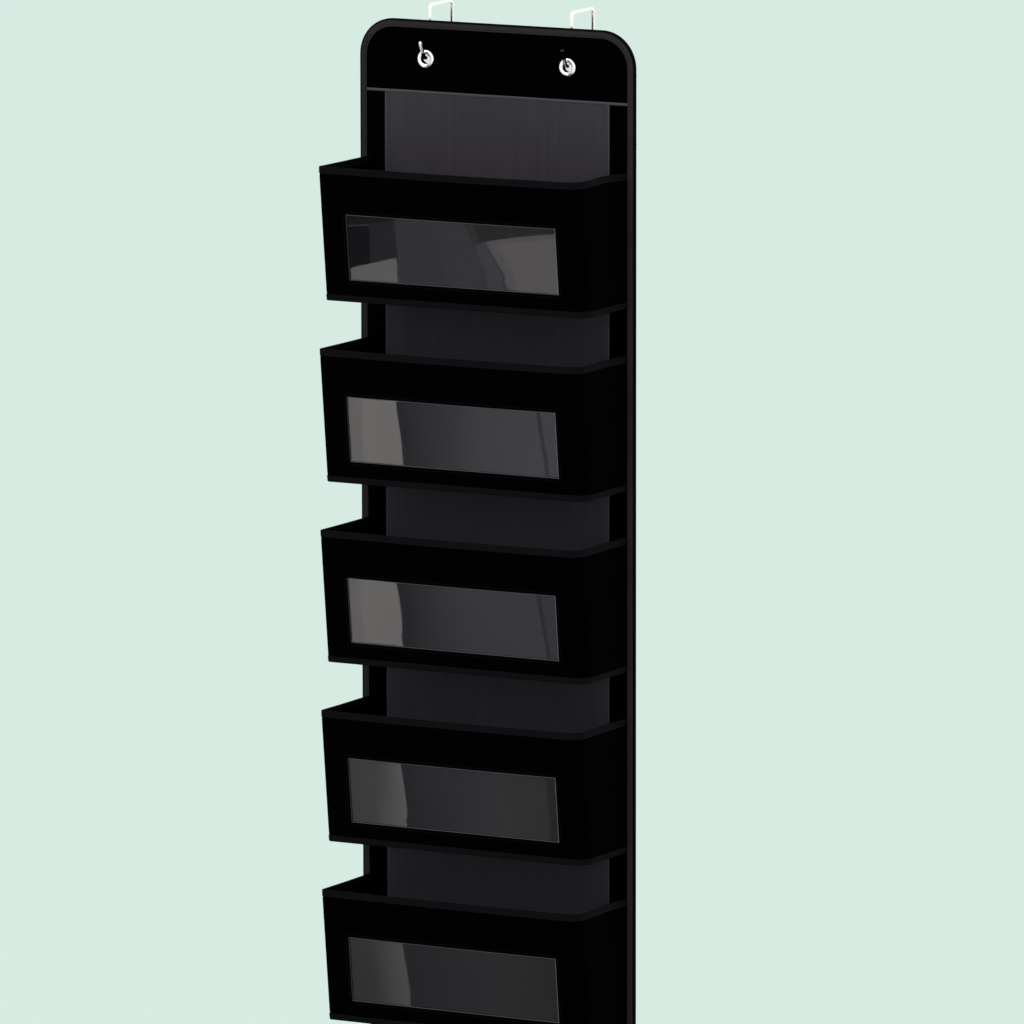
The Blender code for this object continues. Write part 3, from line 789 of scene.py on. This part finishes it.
def strip_travel(along):
    """The way along the cut strip, in metres, for the numbers that wall_spot takes."""
    lengths = (front_depth(0) - LEFT_CREASE, LEFT_CREASE * math.pi / 2, FRONT_LENGTH,
               RIGHT_TURN * math.pi / 2, front_depth(0) - RIGHT_TURN)
    return np.interp(along, range(6), np.concatenate([[0], np.cumsum(lengths)]))


def spaced(stops, counts):
    """Even steps between the stops, with that many steps in each stretch."""
    runs = [np.linspace(a, b, n, endpoint=False) for a, b, n in zip(stops, stops[1:], counts)]
    return np.concatenate(runs + [[stops[-1]]])


def cloth_strip(name, columns, rows):
    """A flat grid of cloth, with the column and row that each point belongs to."""
    piece = add_shape("grid", name, x_subdivisions=len(columns) - 1, y_subdivisions=len(rows) - 1,
                      size=1)
    flat = points_of(piece) + 0.5
    column = np.rint(flat[:, 0] * (len(columns) - 1)).astype(int)
    row = np.rint(flat[:, 1] * (len(rows) - 1)).astype(int)
    return piece, column, row


WINDOW_LEFT = 2 + (-WINDOW_SIDE - FRONT_START) / FRONT_LENGTH
WINDOW_RIGHT = 2 + (WINDOW_SIDE - WINDOW_TRIM - FRONT_START) / FRONT_LENGTH
ALONG = spaced((0, 1, 2, WINDOW_LEFT, WINDOW_RIGHT, 3, 4, 5), (22, 5, 7, 62, 4, 9, 22))
DROPS = spaced((WALL_FOOT_DROP, 0.1398, 0.1360, WINDOW_FOOT_DROP, WINDOW_TOP_DROP, 0.0115, 0.0078,
                WALL_TOP_DROP), (3, 3, 4, 18, 11, 3, 3))
PINCH_DROPS = (0, 0.0078, 0.0095, 0.0115, 0.1360, 0.1380, 0.1398, 0.15)
PINCH_DEPTHS = (-0.0005, -0.0005, -0.0001, 0, 0, -0.0001, -0.0005, -0.0005)
STRIP_LENGTH = float(strip_travel(5))

pocket_cloth = woven("pocket_cloth", (POCKET_BLACK, POCKET_GAP), BLACK_THREAD)
walls = []
for number in POCKETS:
    wall, column, row = cloth_strip(f"pocket_{number}_cloth", ALONG, DROPS)
    along, drop = ALONG[column], DROPS[row]
    map_flat(wall, strip_travel(along), -drop)
    move_points(wall, np.stack([along, -drop, np.zeros_like(drop)], axis=1))
    delete_faces(wall, lambda middle, normal: WINDOW_LEFT < middle.x < WINDOW_RIGHT
                 and WINDOW_TOP_DROP < -middle.y < WINDOW_FOOT_DROP)
    flat = points_of(wall)
    pinched = np.interp(-flat[:, 1], PINCH_DROPS, PINCH_DEPTHS)
    move_points(wall, wall_spot(number, flat[:, 0], -flat[:, 1], pinched))
    smooth(thicken(wall, WALL))
    walls.append(dress(wall, pocket_cloth, f"pocket_{number}_wall"))


# Pocket tapes. One tape is folded over the rim, the other covers the seam at the base, with
# one leg up the wall and one under the base.
POCKET_TAPE_TONE = (0.0038, 0.0036, 0.0045, 1)
POCKET_TAPE_GAP = (0.0020, 0.0019, 0.0024, 1)
POCKET_TAPE = 0.00035
TAPE_LOOSE = 0.00012
RIM_TAPE_FOOT = 0.0077
RIM_TAPE_BEND = 0.0022
FOLD_RADIUS = (WALL + 0.0010) / 2
FOLD_HEIGHT = 0.0010
BASE_TAPE_TOP = POCKET_HEIGHT - 0.0067
BASE_TAPE_BEND = POCKET_HEIGHT - 0.0020
BASE_TAPE_TURN = 0.0010
BASE_TAPE_UNDER = (-0.002, -0.0026)

pocket_tape = ribbed("pocket_tape", (POCKET_TAPE_TONE, POCKET_TAPE_GAP), 0.0010, 0.02, sheen=0.003)
fold = np.linspace(0, math.pi, 9)
rim_out = np.concatenate([[0] * 4, FOLD_RADIUS * (np.cos(fold) - 1), [-2 * FOLD_RADIUS] * 4])
rim_drop = np.concatenate([
    np.linspace(RIM_TAPE_FOOT, RIM_TAPE_BEND, 4), FOLD_HEIGHT * (1 - np.sin(fold)),
    np.linspace(RIM_TAPE_BEND, RIM_TAPE_FOOT, 4)])
turn = np.linspace(0, math.pi / 2, 6)
base_out = np.concatenate([[0] * 4, BASE_TAPE_TURN * (np.cos(turn) - 1), BASE_TAPE_UNDER])
base_drop = np.concatenate([
    np.linspace(BASE_TAPE_TOP, BASE_TAPE_BEND, 4),
    POCKET_HEIGHT - BASE_TAPE_TURN + BASE_TAPE_TURN * np.sin(turn), [POCKET_HEIGHT] * 2])
TAPE_ALONG = spaced((0, 1, 2, 3, 4, 5), (30, 6, 90, 10, 30))
for number in POCKETS:
    for kind, outs, drops in (("rim", rim_out, rim_drop), ("base", base_out, base_drop)):
        tape, column, row = cloth_strip(f"pocket_{number}_{kind}_binding", TAPE_ALONG, drops)
        along = TAPE_ALONG[column]
        width = np.concatenate([[0], np.cumsum(np.hypot(np.diff(outs), np.diff(drops)))])
        map_flat(tape, width[row], strip_travel(along))
        ways = np.stack([along * 9, drops[row] * 40, along * 0], axis=1)
        loose = np.where(row < 3, TAPE_LOOSE * (1 + swell(ways, 1.0, number)), 0)
        move_points(tape, wall_spot(number, along, drops[row], outs[row] + loose))
        smooth(thicken(tape, POCKET_TAPE), 60)
        dress(tape, pocket_tape, f"pocket_{number}_{kind}_tape")
        walls[number - 1]


# Pocket bases. A black cloth closes each base, and a stiff black board lies on it inside the
# pocket; the board keeps its solid.
BASE_CLOTH_DROP = POCKET_HEIGHT - 0.0008
BOARD_TONE = (0.010, 0.010, 0.011, 1)

board_finish = pressed("black_board", BOARD_TONE, 1.6, (30.0, 6.0), (500.0, 4.0), (0.3, 0.0001),
                       0.7, 0.15)
outline = spaced((0, 1, 2, 3, 4, 5), (10, 5, 30, 9, 10))
for number in POCKETS:
    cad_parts[f"pocket_{number}_base_board"].material_slots[0].material = board_finish
    base = add_shape("circle", f"pocket_{number}_base", vertices=len(outline), radius=1,
                     fill_type="NGON")
    circle = points_of(base)
    shaped = np.empty_like(circle)
    shaped[np.argsort(-np.arctan2(circle[:, 0], -circle[:, 1]))] = wall_spot(
        number, outline, BASE_CLOTH_DROP, 0.0)
    move_points(base, shaped)
    with editing(base):
        face_outwards()
        cut_evenly((1, 0, 0), -POCKET_SIDE, POCKET_SIDE, 18)
        cut_evenly((0, 1, 0), WALL_REAR, WALL_REAR - BASE_DEPTH, 6)
    if base.data.polygons[0].normal.z > 0:
        flip(base)
    points = points_of(base)
    map_flat(base, points[:, 0], points[:, 1])
    smooth(thicken(base, CLOTH))
    dress(base, pocket_cloth, f"pocket_{number}_base_cloth")
    walls[number - 1]


# Windows. Clear vinyl sewn in behind the opening of each front wall, nearly flat. Its edge is
# welded to the cloth in a thin bead, painted pale as a highlight.
VINYL = 0.0004
WINDOW_SEAM = 0.008
BEAD = 0.00045
BEAD_SUNK = 0.0008
VINYL_TONE = (0.008, 0.008, 0.009, 1)
BEAD_TONE = (0.010, 0.010, 0.010, 1)
BEAD_PAINTED_HIGHLIGHT = (0.135, 0.131, 0.128, 1)


def clear_vinyl(name, colour, alpha, roughness, ior, bend):
    """Clear soft plastic: mirrors a little, lets light through, faintly dimpled and dusty."""
    made, tree, shader = new_material(name)
    cut = cut_places(tree)
    haze = grain(cut, 60.0, 2.0)
    feed(shader, {
        "Base Color": mixed(haze, colour, toned(colour, 1.3)),
        "Normal": bumped(grain(cut, 12.0, 1.0), 1.0, bend),
        "Roughness": haze * 0.02 + roughness, "Alpha": alpha, "IOR": ior,
    })
    return made


def welded_edge(name):
    """The vinyl's pressed edge, with a painted highlight in its colour all round, strongest at its
    right side.
    """
    made = clear_vinyl(name, BEAD_TONE, 1.0, 0.35, 1.2, 0.00005)
    across = parts_of(cut_places(made.node_tree))[0]
    # Painted highlight: the colour is palest at the right side, less at the top and foot, least at
    # the left.
    past_left = across.ramp(float(strip_travel(WINDOW_LEFT)) + 0.0012, 0.0003)
    at_right = across.ramp(float(strip_travel(WINDOW_RIGHT)) - 0.0015, 0.0003)
    painted_highlight = past_left * 0.28 + (at_right * 0.55 + 0.17)
    feed(made.node_tree.nodes["Principled BSDF"], {"Base Color": mixed(painted_highlight, BEAD_TONE, BEAD_PAINTED_HIGHLIGHT)})
    return made


def window_ring(count_across, count_down):
    """The window's outline: place along the wall, drop, and the way inwards."""
    starts = np.array([(WINDOW_LEFT, WINDOW_TOP_DROP), (WINDOW_RIGHT, WINDOW_TOP_DROP),
                       (WINDOW_RIGHT, WINDOW_FOOT_DROP), (WINDOW_LEFT, WINDOW_FOOT_DROP)])
    inwards = ((0, 1), (-1, 0), (0, -1), (1, 0))
    sides = []
    for start, end, inward, steps in zip(
            starts, np.roll(starts, -1, 0), inwards, (count_across, count_down) * 2):
        part = np.linspace(0, 1, steps, endpoint=False)[:, None]
        places = start * (1 - part) + end * part
        sides.append(np.concatenate([places, np.repeat([inward], steps, axis=0)], axis=1))
    for side, before in zip(sides, sides[-1:] + sides[:-1]):
        side[0, 2:] += before[-1, 2:]
    return np.concatenate(sides)


vinyl_finish = clear_vinyl("clear_vinyl", VINYL_TONE, 0.70, 0.012, 1.5, 0.00012)
bead_finish = welded_edge("vinyl_bead")
seam_share = WINDOW_SEAM / FRONT_LENGTH
pane_along = spaced((WINDOW_LEFT - seam_share, WINDOW_LEFT, WINDOW_RIGHT,
                     WINDOW_RIGHT + seam_share), (2, 60, 2))
pane_drop = spaced((WINDOW_FOOT_DROP + WINDOW_SEAM, WINDOW_FOOT_DROP, WINDOW_TOP_DROP,
                    WINDOW_TOP_DROP - WINDOW_SEAM), (2, 22, 2))
ring = window_ring(60, 20)
ring = np.concatenate([ring, ring[:1]])
turns = np.linspace(0, 2 * math.pi, 9)
for number in POCKETS:
    pane, column, row = cloth_strip(f"pocket_{number}_vinyl", pane_along, pane_drop)
    along, drop = pane_along[column], pane_drop[row]
    move_points(pane, wall_spot(number, along, drop, -WALL - CLEARANCE))
    map_flat(pane, strip_travel(along) + 0.7 * number, -drop)
    smooth(thicken(pane, VINYL))
    dress(pane, vinyl_finish, f"pocket_{number}_window")
    walls[number - 1]
    bead, column, row = cloth_strip(f"pocket_{number}_bead", ring, turns)
    in_by = BEAD * (1.1 + np.cos(turns[row]))
    along = ring[column, 0] + ring[column, 2] * in_by / FRONT_LENGTH
    drop = ring[column, 1] + ring[column, 3] * in_by
    move_points(bead, wall_spot(number, along, drop, BEAD * np.sin(turns[row]) - BEAD_SUNK))
    map_flat(bead, strip_travel(along), -drop)
    with editing(bead):
        face_outwards(merged=1e-5)
    smooth(bead, 80)
    dress(bead, bead_finish)


# Stitching. One small stitch is repeated along every seam: round the binding on both faces,
# along the header tape, along each pocket's tapes and round its window.
PITCH = 0.0040
STITCH = 0.0030
THREAD = 0.00045
PROUD = 0.0003
BINDING_ROW_IN = 0.0018
HEADER_ROW_START = 0.003
ROW_START = 0.006
WINDOW_ROW_OUT = 0.0025
DARK_THREAD = (0.006, 0.006, 0.007, 1)
PALE_THREAD = (0.050, 0.050, 0.052, 1)


def thread_finish(name, colour):
    """Two-ply sewing thread."""
    return ribbed(name, (colour, toned(colour, 0.4)), 0.0005, 0.03, sheen=0.01)


def sew(name, spots, outward, finish, closed=False):
    """A row of stitches: one at each spot, laid along the row with its back on the cloth."""
    row = stitch.copy()
    row.data = stitch.data.copy()
    row.name = name
    bpy.context.collection.objects.link(row)
    count = len(spots)
    single = points_of(stitch)
    apply_modifier(row, "ARRAY", count=count, use_relative_offset=False, use_constant_offset=True,
                   constant_offset_displace=(1, 0, 0))
    along = np.roll(spots, -1, 0) - np.roll(spots, 1, 0) if closed else np.gradient(spots, axis=0)
    along /= np.linalg.norm(along, axis=1)[:, None]
    across = np.cross(outward, along)
    across /= np.linalg.norm(across, axis=1)[:, None]
    frames = np.stack([along, across, np.cross(along, across)], axis=1)
    laid = spots[:, None, :] + np.einsum("pj,sjk->spk", single, frames)
    move_points(row, laid.reshape(-1, 3))
    starts = np.repeat(np.arange(count) * PITCH, len(single))
    map_flat(row, np.tile(single[:, 1], count), np.tile(single[:, 0], count) + starts)
    smooth(row, 60)
    return dress(row, finish)


def edge_path(inset, y):
    """Spots one pitch apart round the panel, so far inside its outline."""
    corners = []
    radius = PANEL_CORNER - inset
    for turned, (x, z) in enumerate(((1, -1), (1, 1), (-1, 1), (-1, -1))):
        angle = np.radians(90 * turned - 90 + np.linspace(0, 90, 40))
        corners.append(np.stack([x * STRAIGHT_X + radius * np.cos(angle),
                                 PANEL_MIDDLE + z * STRAIGHT_Z + radius * np.sin(angle)], axis=1))
    path = np.concatenate(corners + [corners[0][:1]])
    travel = np.concatenate([[0], np.cumsum(np.linalg.norm(np.diff(path, axis=0), axis=1))])
    places = np.linspace(0, travel[-1], round(travel[-1] / PITCH), endpoint=False)
    x, z = np.interp(places, travel, path[:, 0]), np.interp(places, travel, path[:, 1])
    return np.stack([x, np.full_like(x, y), z], axis=1)


def sew_wall(name, number, along, drop, out, side, closed=False):
    """A dark row of stitches on a pocket's cloth, outside it or inside."""
    spots = wall_spot(number, along, drop, out)
    outward = (wall_spot(number, along, drop, out + 0.001) - spots) * side
    sew(f"pocket_{number}_{name}", spots, outward, dark_thread, closed)


stitch = add_shape("cube", "stitch", size=1)
stitch.scale = (STITCH, THREAD, THREAD)
settle(stitch)
apply_modifier(stitch, "BEVEL", width=THREAD * 0.3, segments=1)
points = points_of(stitch)
points[:, 2] -= THREAD * 0.5 * (2 * np.abs(points[:, 0]) / STITCH) ** 4
move_points(stitch, points)

dark_thread = thread_finish("dark_thread", DARK_THREAD)
pale_thread = thread_finish("grey_thread", PALE_THREAD)
for name, y, side in (("front", BINDING_FRONT - PROUD, -1), ("rear", BINDING_REAR + PROUD, 1)):
    sew(f"binding_stitches_{name}", edge_path(BINDING_WIDTH - BINDING_ROW_IN, y), (0, side, 0),
        dark_thread, closed=True)
spots = np.arange(TAPE_LOW.x + HEADER_ROW_START, TAPE_HIGH.x - HEADER_ROW_START, PITCH)
spots = np.stack([spots, np.full_like(spots, TAPE_LOW.y - PROUD),
                  np.full_like(spots, TAPE_MIDDLE)], axis=1)
sew("header_tape_stitches", spots, (0, -1, 0), pale_thread)
ends = strip_travel(np.arange(6))
row = np.interp(np.arange(ROW_START, ends[-1] - ROW_START, PITCH), ends, np.arange(6))
around = window_ring(64, 19)
around_along = around[:, 0] - around[:, 2] * WINDOW_ROW_OUT / FRONT_LENGTH
around_drop = around[:, 1] - around[:, 3] * WINDOW_ROW_OUT
for number in POCKETS:
    for name, drop, out, side in (
        ("rim_stitches", RIM_TAPE_FOOT - 0.0016, 0.0001, 1),
        ("rim_stitches_inside", RIM_TAPE_FOOT - 0.0016, -2 * FOLD_RADIUS - 0.0001, -1),
        ("base_stitches", BASE_TAPE_TOP + 0.0015, 0.0001, 1),
    ):
        sew_wall(name, number, row, drop, out, side)
    sew_wall("window_stitches", number, around_along, around_drop, 0.0001, 1, True)
bpy.data.objects.remove(stitch)


# Reflectors. Grey and white studio cards in front of the windows, seen in mirrors alone: they
# give the vinyl the bright and dark fields that the photograph shows in it.
CARD_REACH = 0.35
CARD_STEP = 0.002
MIRROR_SHARE = 0.0325
SEEN_THROUGH = 0.006
WARM = (1.045, 0.985, 0.965, 1)
PLAIN = (1.02, 0.995, 0.99, 1)
COOL = (1.01, 0.97, 1.12, 1)


def field(corners, level, tint=COOL, to=None):
    """Four corners, a shade at the first side and at the far one, and a tint. A place runs from
    0 to 1 across and down the window, and past these where the field overhangs it."""
    return corners, level, level if to is None else to, tint


def band(top_from, foot_from, top_to, foot_to, *shade):
    """A field from a window's top to its foot between two slanting sides."""
    return field(((top_from, -0.2), (top_to, -0.2), (foot_to, 1.2), (foot_from, 1.2)), *shade)


CARDS = {
    1: (field(((-0.1, -0.2), (1.1, -0.2), (1.1, 1.2), (-0.1, 1.2)), 48),
        field(((-0.1, -0.2), (0.215, -0.2), (0.225, 0.12), (-0.1, 0.22)), 25),
        field(((-0.1, 0.25), (0.095, 0.18), (0.100, 0.84), (-0.1, 0.92)), 19, WARM),
        field(((0.095, 0.14), (0.222, 0.08), (0.232, 0.72), (0.100, 0.84)), 34),
        field(((-0.1, 0.905), (0.224, 0.685), (0.240, 1.2), (-0.1, 1.2)), 86, PLAIN),
        field(((0.43, -0.2), (0.60, -0.2), (0.64, 1.2), (0.46, 1.2)), 50),
        field(((0.50, -0.2), (0.56, -0.2), (0.64, 0.40), (0.58, 0.44)), 44, PLAIN),
        field(((0.54, -0.2), (1.1, -0.2), (1.1, 0.07), (0.61, 0.36)), 36, PLAIN),
        field(((0.585, 0.40), (0.64, 0.36), (0.785, 1.2), (0.70, 1.2)), 57),
        field(((0.645, 0.345), (1.1, 0.05), (1.1, 1.2), (0.800, 1.2)), 74, WARM),
        field(((0.72, 0.38), (1.1, 0.14), (1.1, 1.2), (0.84, 1.2)), 80, WARM)),
    2: (band(-0.1, -0.1, 0.10, 0.10, 84, WARM, 96), band(0.06, 0.06, 0.240, 0.259, 102, WARM),
        band(0.240, 0.259, 0.66, 0.66, 37, COOL, 62), band(0.65, 0.65, 1.1, 1.1, 62),
        band(0.912, 0.936, 0.932, 0.956, 48)),
    3: (band(-0.1, -0.1, 0.10, 0.10, 84, WARM, 96), band(0.06, 0.06, 0.182, 0.266, 99, WARM),
        band(0.182, 0.266, 0.62, 0.62, 35, COOL, 56), band(0.61, 0.61, 1.1, 1.1, 56),
        band(0.914, 0.942, 0.934, 0.962, 43), band(0.934, 0.962, 1.1, 1.1, 51)),
    4: (band(-0.1, -0.1, 0.10, 0.10, 53, WARM, 60), band(0.09, 0.09, 0.235, 0.272, 57, WARM, 80),
        band(0.235, 0.272, 0.74, 0.74, 35, COOL, 47), band(0.73, 0.73, 1.1, 1.1, 47, PLAIN, 44),
        band(0.952, 0.960, 1.1, 1.1, 37, PLAIN)),
    5: (band(-0.1, -0.1, 0.11, 0.13, 46, WARM, 50), band(0.09, 0.12, 0.275, 0.285, 50, WARM, 70),
        band(0.275, 0.285, 0.72, 0.72, 36, COOL, 42), band(0.71, 0.71, 1.1, 1.1, 42, PLAIN, 37)),
}


def glow_for(level):
    """How strongly a card glows to show in a window at a shade from 0 to 255."""
    part = level / 255
    light = part / 12.92 if part < 0.04045 else ((part + 0.055) / 1.055) ** 2.4
    return max(0.0, light - SEEN_THROUGH) / MIRROR_SHARE


def mirrored_spot(number, across, down, reach):
    """The point that the camera sees in a window, so far in front of it."""
    along = WINDOW_LEFT + (WINDOW_RIGHT - WINDOW_LEFT) * across
    drop = WINDOW_TOP_DROP + (WINDOW_FOOT_DROP - WINDOW_TOP_DROP) * down
    spot = Vector(wall_spot(number, along, drop, -WALL).tolist())
    flat = Vector((0, -POCKET_HEIGHT, BASE_DEPTH - POCKET_DEPTH)).normalized()
    ray = (spot - Vector(CAMERA_PLACE)).normalized()
    return spot + (ray - 2 * ray.dot(flat) * flat) * reach


def card_finish(near, far, tint):
    """Card that glows from one strength to another across it, with faint uneven places."""
    made = bpy.data.materials.new("reflector_card")
    made.use_nodes = True
    tree = made.node_tree
    tree.nodes.clear()
    place = add_node(tree, "TexCoord").outputs
    light = parts_of(place["UV"])[0].ramp(0.0, 1.0, near, far)
    uneven = grain(place["Object"], 9.0, 2.0) * 0.4 + 0.8
    glow = add_node(tree, "Emission", {"Color": tint, "Strength": light * uneven})
    add_node(tree, "OutputMaterial", {"Surface": glow.outputs[0]})
    return made


for number, fields in CARDS.items():
    for order, (corners, near, far, tint) in enumerate(fields):
        card = add_shape("plane", f"reflector_{number}_{order + 1}", size=1)
        reach = CARD_REACH - CARD_STEP * order
        spots = np.array([mirrored_spot(number, *corner, reach) for corner in corners])
        move_points(card, spots[[0, 1, 3, 2]])
        card.data.materials.append(card_finish(glow_for(near), glow_for(far), tint))
        for ray in ("camera", "diffuse", "transmission", "volume_scatter", "shadow"):
            setattr(card, f"visible_{ray}", False)


# Eyelets. Bright pressed metal: a domed flange in front, a barrel through the header and an
# edge curled over a flat washer behind.
BORE = 0.0050
DOME = 0.0021
EYELET_SHEET = 0.00042
FLANGE_REAR = PANEL_FRONT - CLEARANCE
WASHER_FRONT, WASHER_REAR = (corner.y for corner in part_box("left_eyelet_washer"))
CURL = ((1.05, 0.0005), (1.09, 0.0003), (1.09, 0.0), (1.07, -0.0004), (1.03, -0.0005))
METAL = (0.95, 0.945, 0.94, 1)
PAINTED_SHADE_METAL = (0.002, 0.002, 0.002, 1)
BRIGHT = 0.20
DULL = 0.95


def bright_metal(name, colour, painted_shading):
    """Bright metal with faint handling marks; painted shade and painted dark reflection make it
    dark and dull where a share calls for them.
    """
    made, tree, shader = new_material(name)
    place = add_node(tree, "TexCoord").outputs["Object"]
    cloudy = grain(place, 160.0, 3.0)
    share = painted_shading(*parts_of(place))
    feed(shader, {
        "Base Color": mixed(share, PAINTED_SHADE_METAL, mixed(cloudy, toned(colour, 0.9), colour)),
        "Normal": bumped(grain(place, 900.0, 4.0), 0.15, 0.00005),
        "Roughness": (cloudy * 0.12 + (BRIGHT - DULL)) * share + DULL, "Metallic": 1.0,
    })
    return made


def eyelet_painted_shading(x, y, z):
    """An eyelet is bright on its front flange, at the back and on its barrel's right wall, and
    painted dark as shade inside the rest of its barrel. Its flange has a painted grey reflection
    ring at the right and a painted dark shadow line low down."""
    across = (abs(x) - EYELET_X) * x.work("SIGN")
    up = z - EYELET_Z
    away = (across * across + up * up).work("SQRT")
    right = across.ramp(0.0010, 0.0012)
    flange = away.ramp(BORE + 0.0003, 0.0005).larger(right * 0.9)
    ring = away.ramp(0.0062, 0.0005) - away.ramp(0.0077, 0.0005)
    low = 1 - up.ramp(-0.0065, 0.0030)
    grey = ring * right * (low * 0.35 + 0.30)
    line = across * 0.74 - (up * 0.67 + 0.0075)
    painted_shadow_notch = (1 - abs(line).ramp(0.0004, 0.0006)) * low * 0.75
    front = 1 - y.ramp(PANEL_FRONT + 0.001, 0.0006)
    return (front * (flange - grey.larger(painted_shadow_notch))).larger(y.ramp(WASHER_FRONT, 0.0004))


# Painted shade darkens the inside of each eyelet's barrel; a painted grey reflection ring and a
# painted shadow line mark its flange.
eyelet_metal = bright_metal("eyelet_metal", METAL, eyelet_painted_shading)
for name, side in SIDES:
    x = side * EYELET_X
    half = (FLANGE - BORE) / 2
    ring = add_shape("torus", f"{name}_eyelet_ring", major_segments=64, minor_segments=24,
                     major_radius=(FLANGE + BORE) / 2, minor_radius=half, rotation=UPRIGHT,
                     location=(x, FLANGE_REAR, EYELET_Z))
    ring.scale = (1, 1, DOME / half)
    settle(ring)
    delete_faces(ring, lambda middle, normal: middle.y > FLANGE_REAR)
    with picking_edges(ring, lambda p: abs(np.hypot(p[0] - x, p[2] - EYELET_Z) - BORE) < 2e-4
                       and p[1] > FLANGE_REAR - 1e-5):
        extrude((0, WASHER_REAR + 0.0004 - FLANGE_REAR, 0))
        for grow, push in CURL:
            extrude((0, push, 0))
            bpy.ops.transform.resize(value=(grow, 1, grow), center_override=(x, 0, EYELET_Z))
        face_outwards()
    if min(ring.data.polygons, key=lambda face: face.center.y).normal.y > 0:
        flip(ring)
    apply_modifier(ring, "SOLIDIFY", thickness=EYELET_SHEET, offset=-1)
    smooth(ring, 40)
    dress(ring, eyelet_metal, f"{name}_eyelet")
    disc = add_shape("cylinder", f"{name}_washer", vertices=64, radius=FLANGE,
                     depth=WASHER_REAR - WASHER_FRONT, rotation=UPRIGHT,
                     location=(x, (WASHER_FRONT + WASHER_REAR) / 2, EYELET_Z))
    settle(disc)
    punch(disc, x, EYELET_Z, EYELET_HOLE)
    apply_modifier(disc, "BEVEL", width=0.00015, segments=2, limit_method="ANGLE")
    smooth(disc, 40)
    dress(disc, eyelet_metal, f"{name}_eyelet_washer")


# Door hooks. Bright round wire: a short tip in front, a bend that carries the eyelet, a leg up
# the door's face, a bridge over its top and a leg down behind.
WIRE = 0.0020
BEND = 0.0085
BEND_Y = -WIRE - BEND
BEND_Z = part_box("left_door_hook")[0].z + BEND + WIRE
TIP_LEAN = math.radians(25)
TIP = 0.0136
BRIDGE_BEND = 0.0040
BRIDGE_BEND_Z = WIRE - BRIDGE_BEND
DOOR = 0.045
REAR_LEG = 0.045
HOOK_METAL = (0.93, 0.92, 0.90, 1)


def hook_painted_reflection(height, share, foot, foot_share):
    """A hook's painted reflection: the front of its bend is painted dark and dull; its tip keeps
    its bright metal by a share above a height, and the foot of its bend by another share below
    a lower height."""
    def painted_shading(x, y, z):
        low = (1 - z.ramp(foot, 0.0015)) * (1 - x.ramp(EYELET_X + 0.0008, 0.0008))
        end = low * foot_share + z.ramp(height, 0.0015) * share
        return end.larger(y.ramp(PANEL_FRONT - 0.001, 0.001))
    return painted_shading


# Painted reflection: the left tip stays bright over a dark bend; the right tip is painted dark with
# a faint highlight, its bend's foot bright.
for (name, side), *places in (
    (SIDES[0], -0.0485, 0.95, -0.0560, 0.10),
    (SIDES[1], -0.0372, 0.09, -0.0470, 0.85),
):
    hook_wire = bright_metal(f"{name}_hook_wire", HOOK_METAL, hook_painted_reflection(*places))
    x = side * EYELET_X
    start = Vector((x, BEND_Y - BEND * math.cos(TIP_LEAN), BEND_Z - BEND * math.sin(TIP_LEAN)))
    up_tip = Vector((0, -math.sin(TIP_LEAN), math.cos(TIP_LEAN)))
    tip = start + up_tip * TIP
    hook = add_shape("uv_sphere", f"{name}_hook", segments=24, ring_count=16, radius=WIRE,
                     location=tip, rotation=(TIP_LEAN, 0, 0))
    settle(hook)
    delete_faces(hook, lambda middle, normal: (Vector(middle) - tip).dot(up_tip) < 0)
    with picking_edges(hook, lambda p: abs((Vector(p) - tip).dot(up_tip)) < 1e-5):
        extrude(start - tip)
        bpy.ops.mesh.spin(steps=32, angle=math.pi - TIP_LEAN, center=(x, BEND_Y, BEND_Z),
                          axis=(-1, 0, 0))
        extrude((0, 0, BRIDGE_BEND_Z - BEND_Z))
        for turn_y, way in (
            (BRIDGE_BEND - WIRE, (0, DOOR + 2 * WIRE - 2 * BRIDGE_BEND, 0)),
            (DOOR + WIRE - BRIDGE_BEND, (0, 0, BRIDGE_BEND - WIRE - REAR_LEG)),
        ):
            bpy.ops.mesh.spin(steps=10, angle=math.pi / 2, axis=(1, 0, 0),
                              center=(x, turn_y, BRIDGE_BEND_Z))
            extrude(way)
        bpy.ops.mesh.edge_face_add()
        bpy.ops.mesh.bevel(offset=WIRE * 0.6, segments=4, affect="EDGES")
        face_outwards(merged=1e-6)
    smooth(hook, 50)
    dress(hook, hook_wire, f"{name}_door_hook", body="door_hooks")
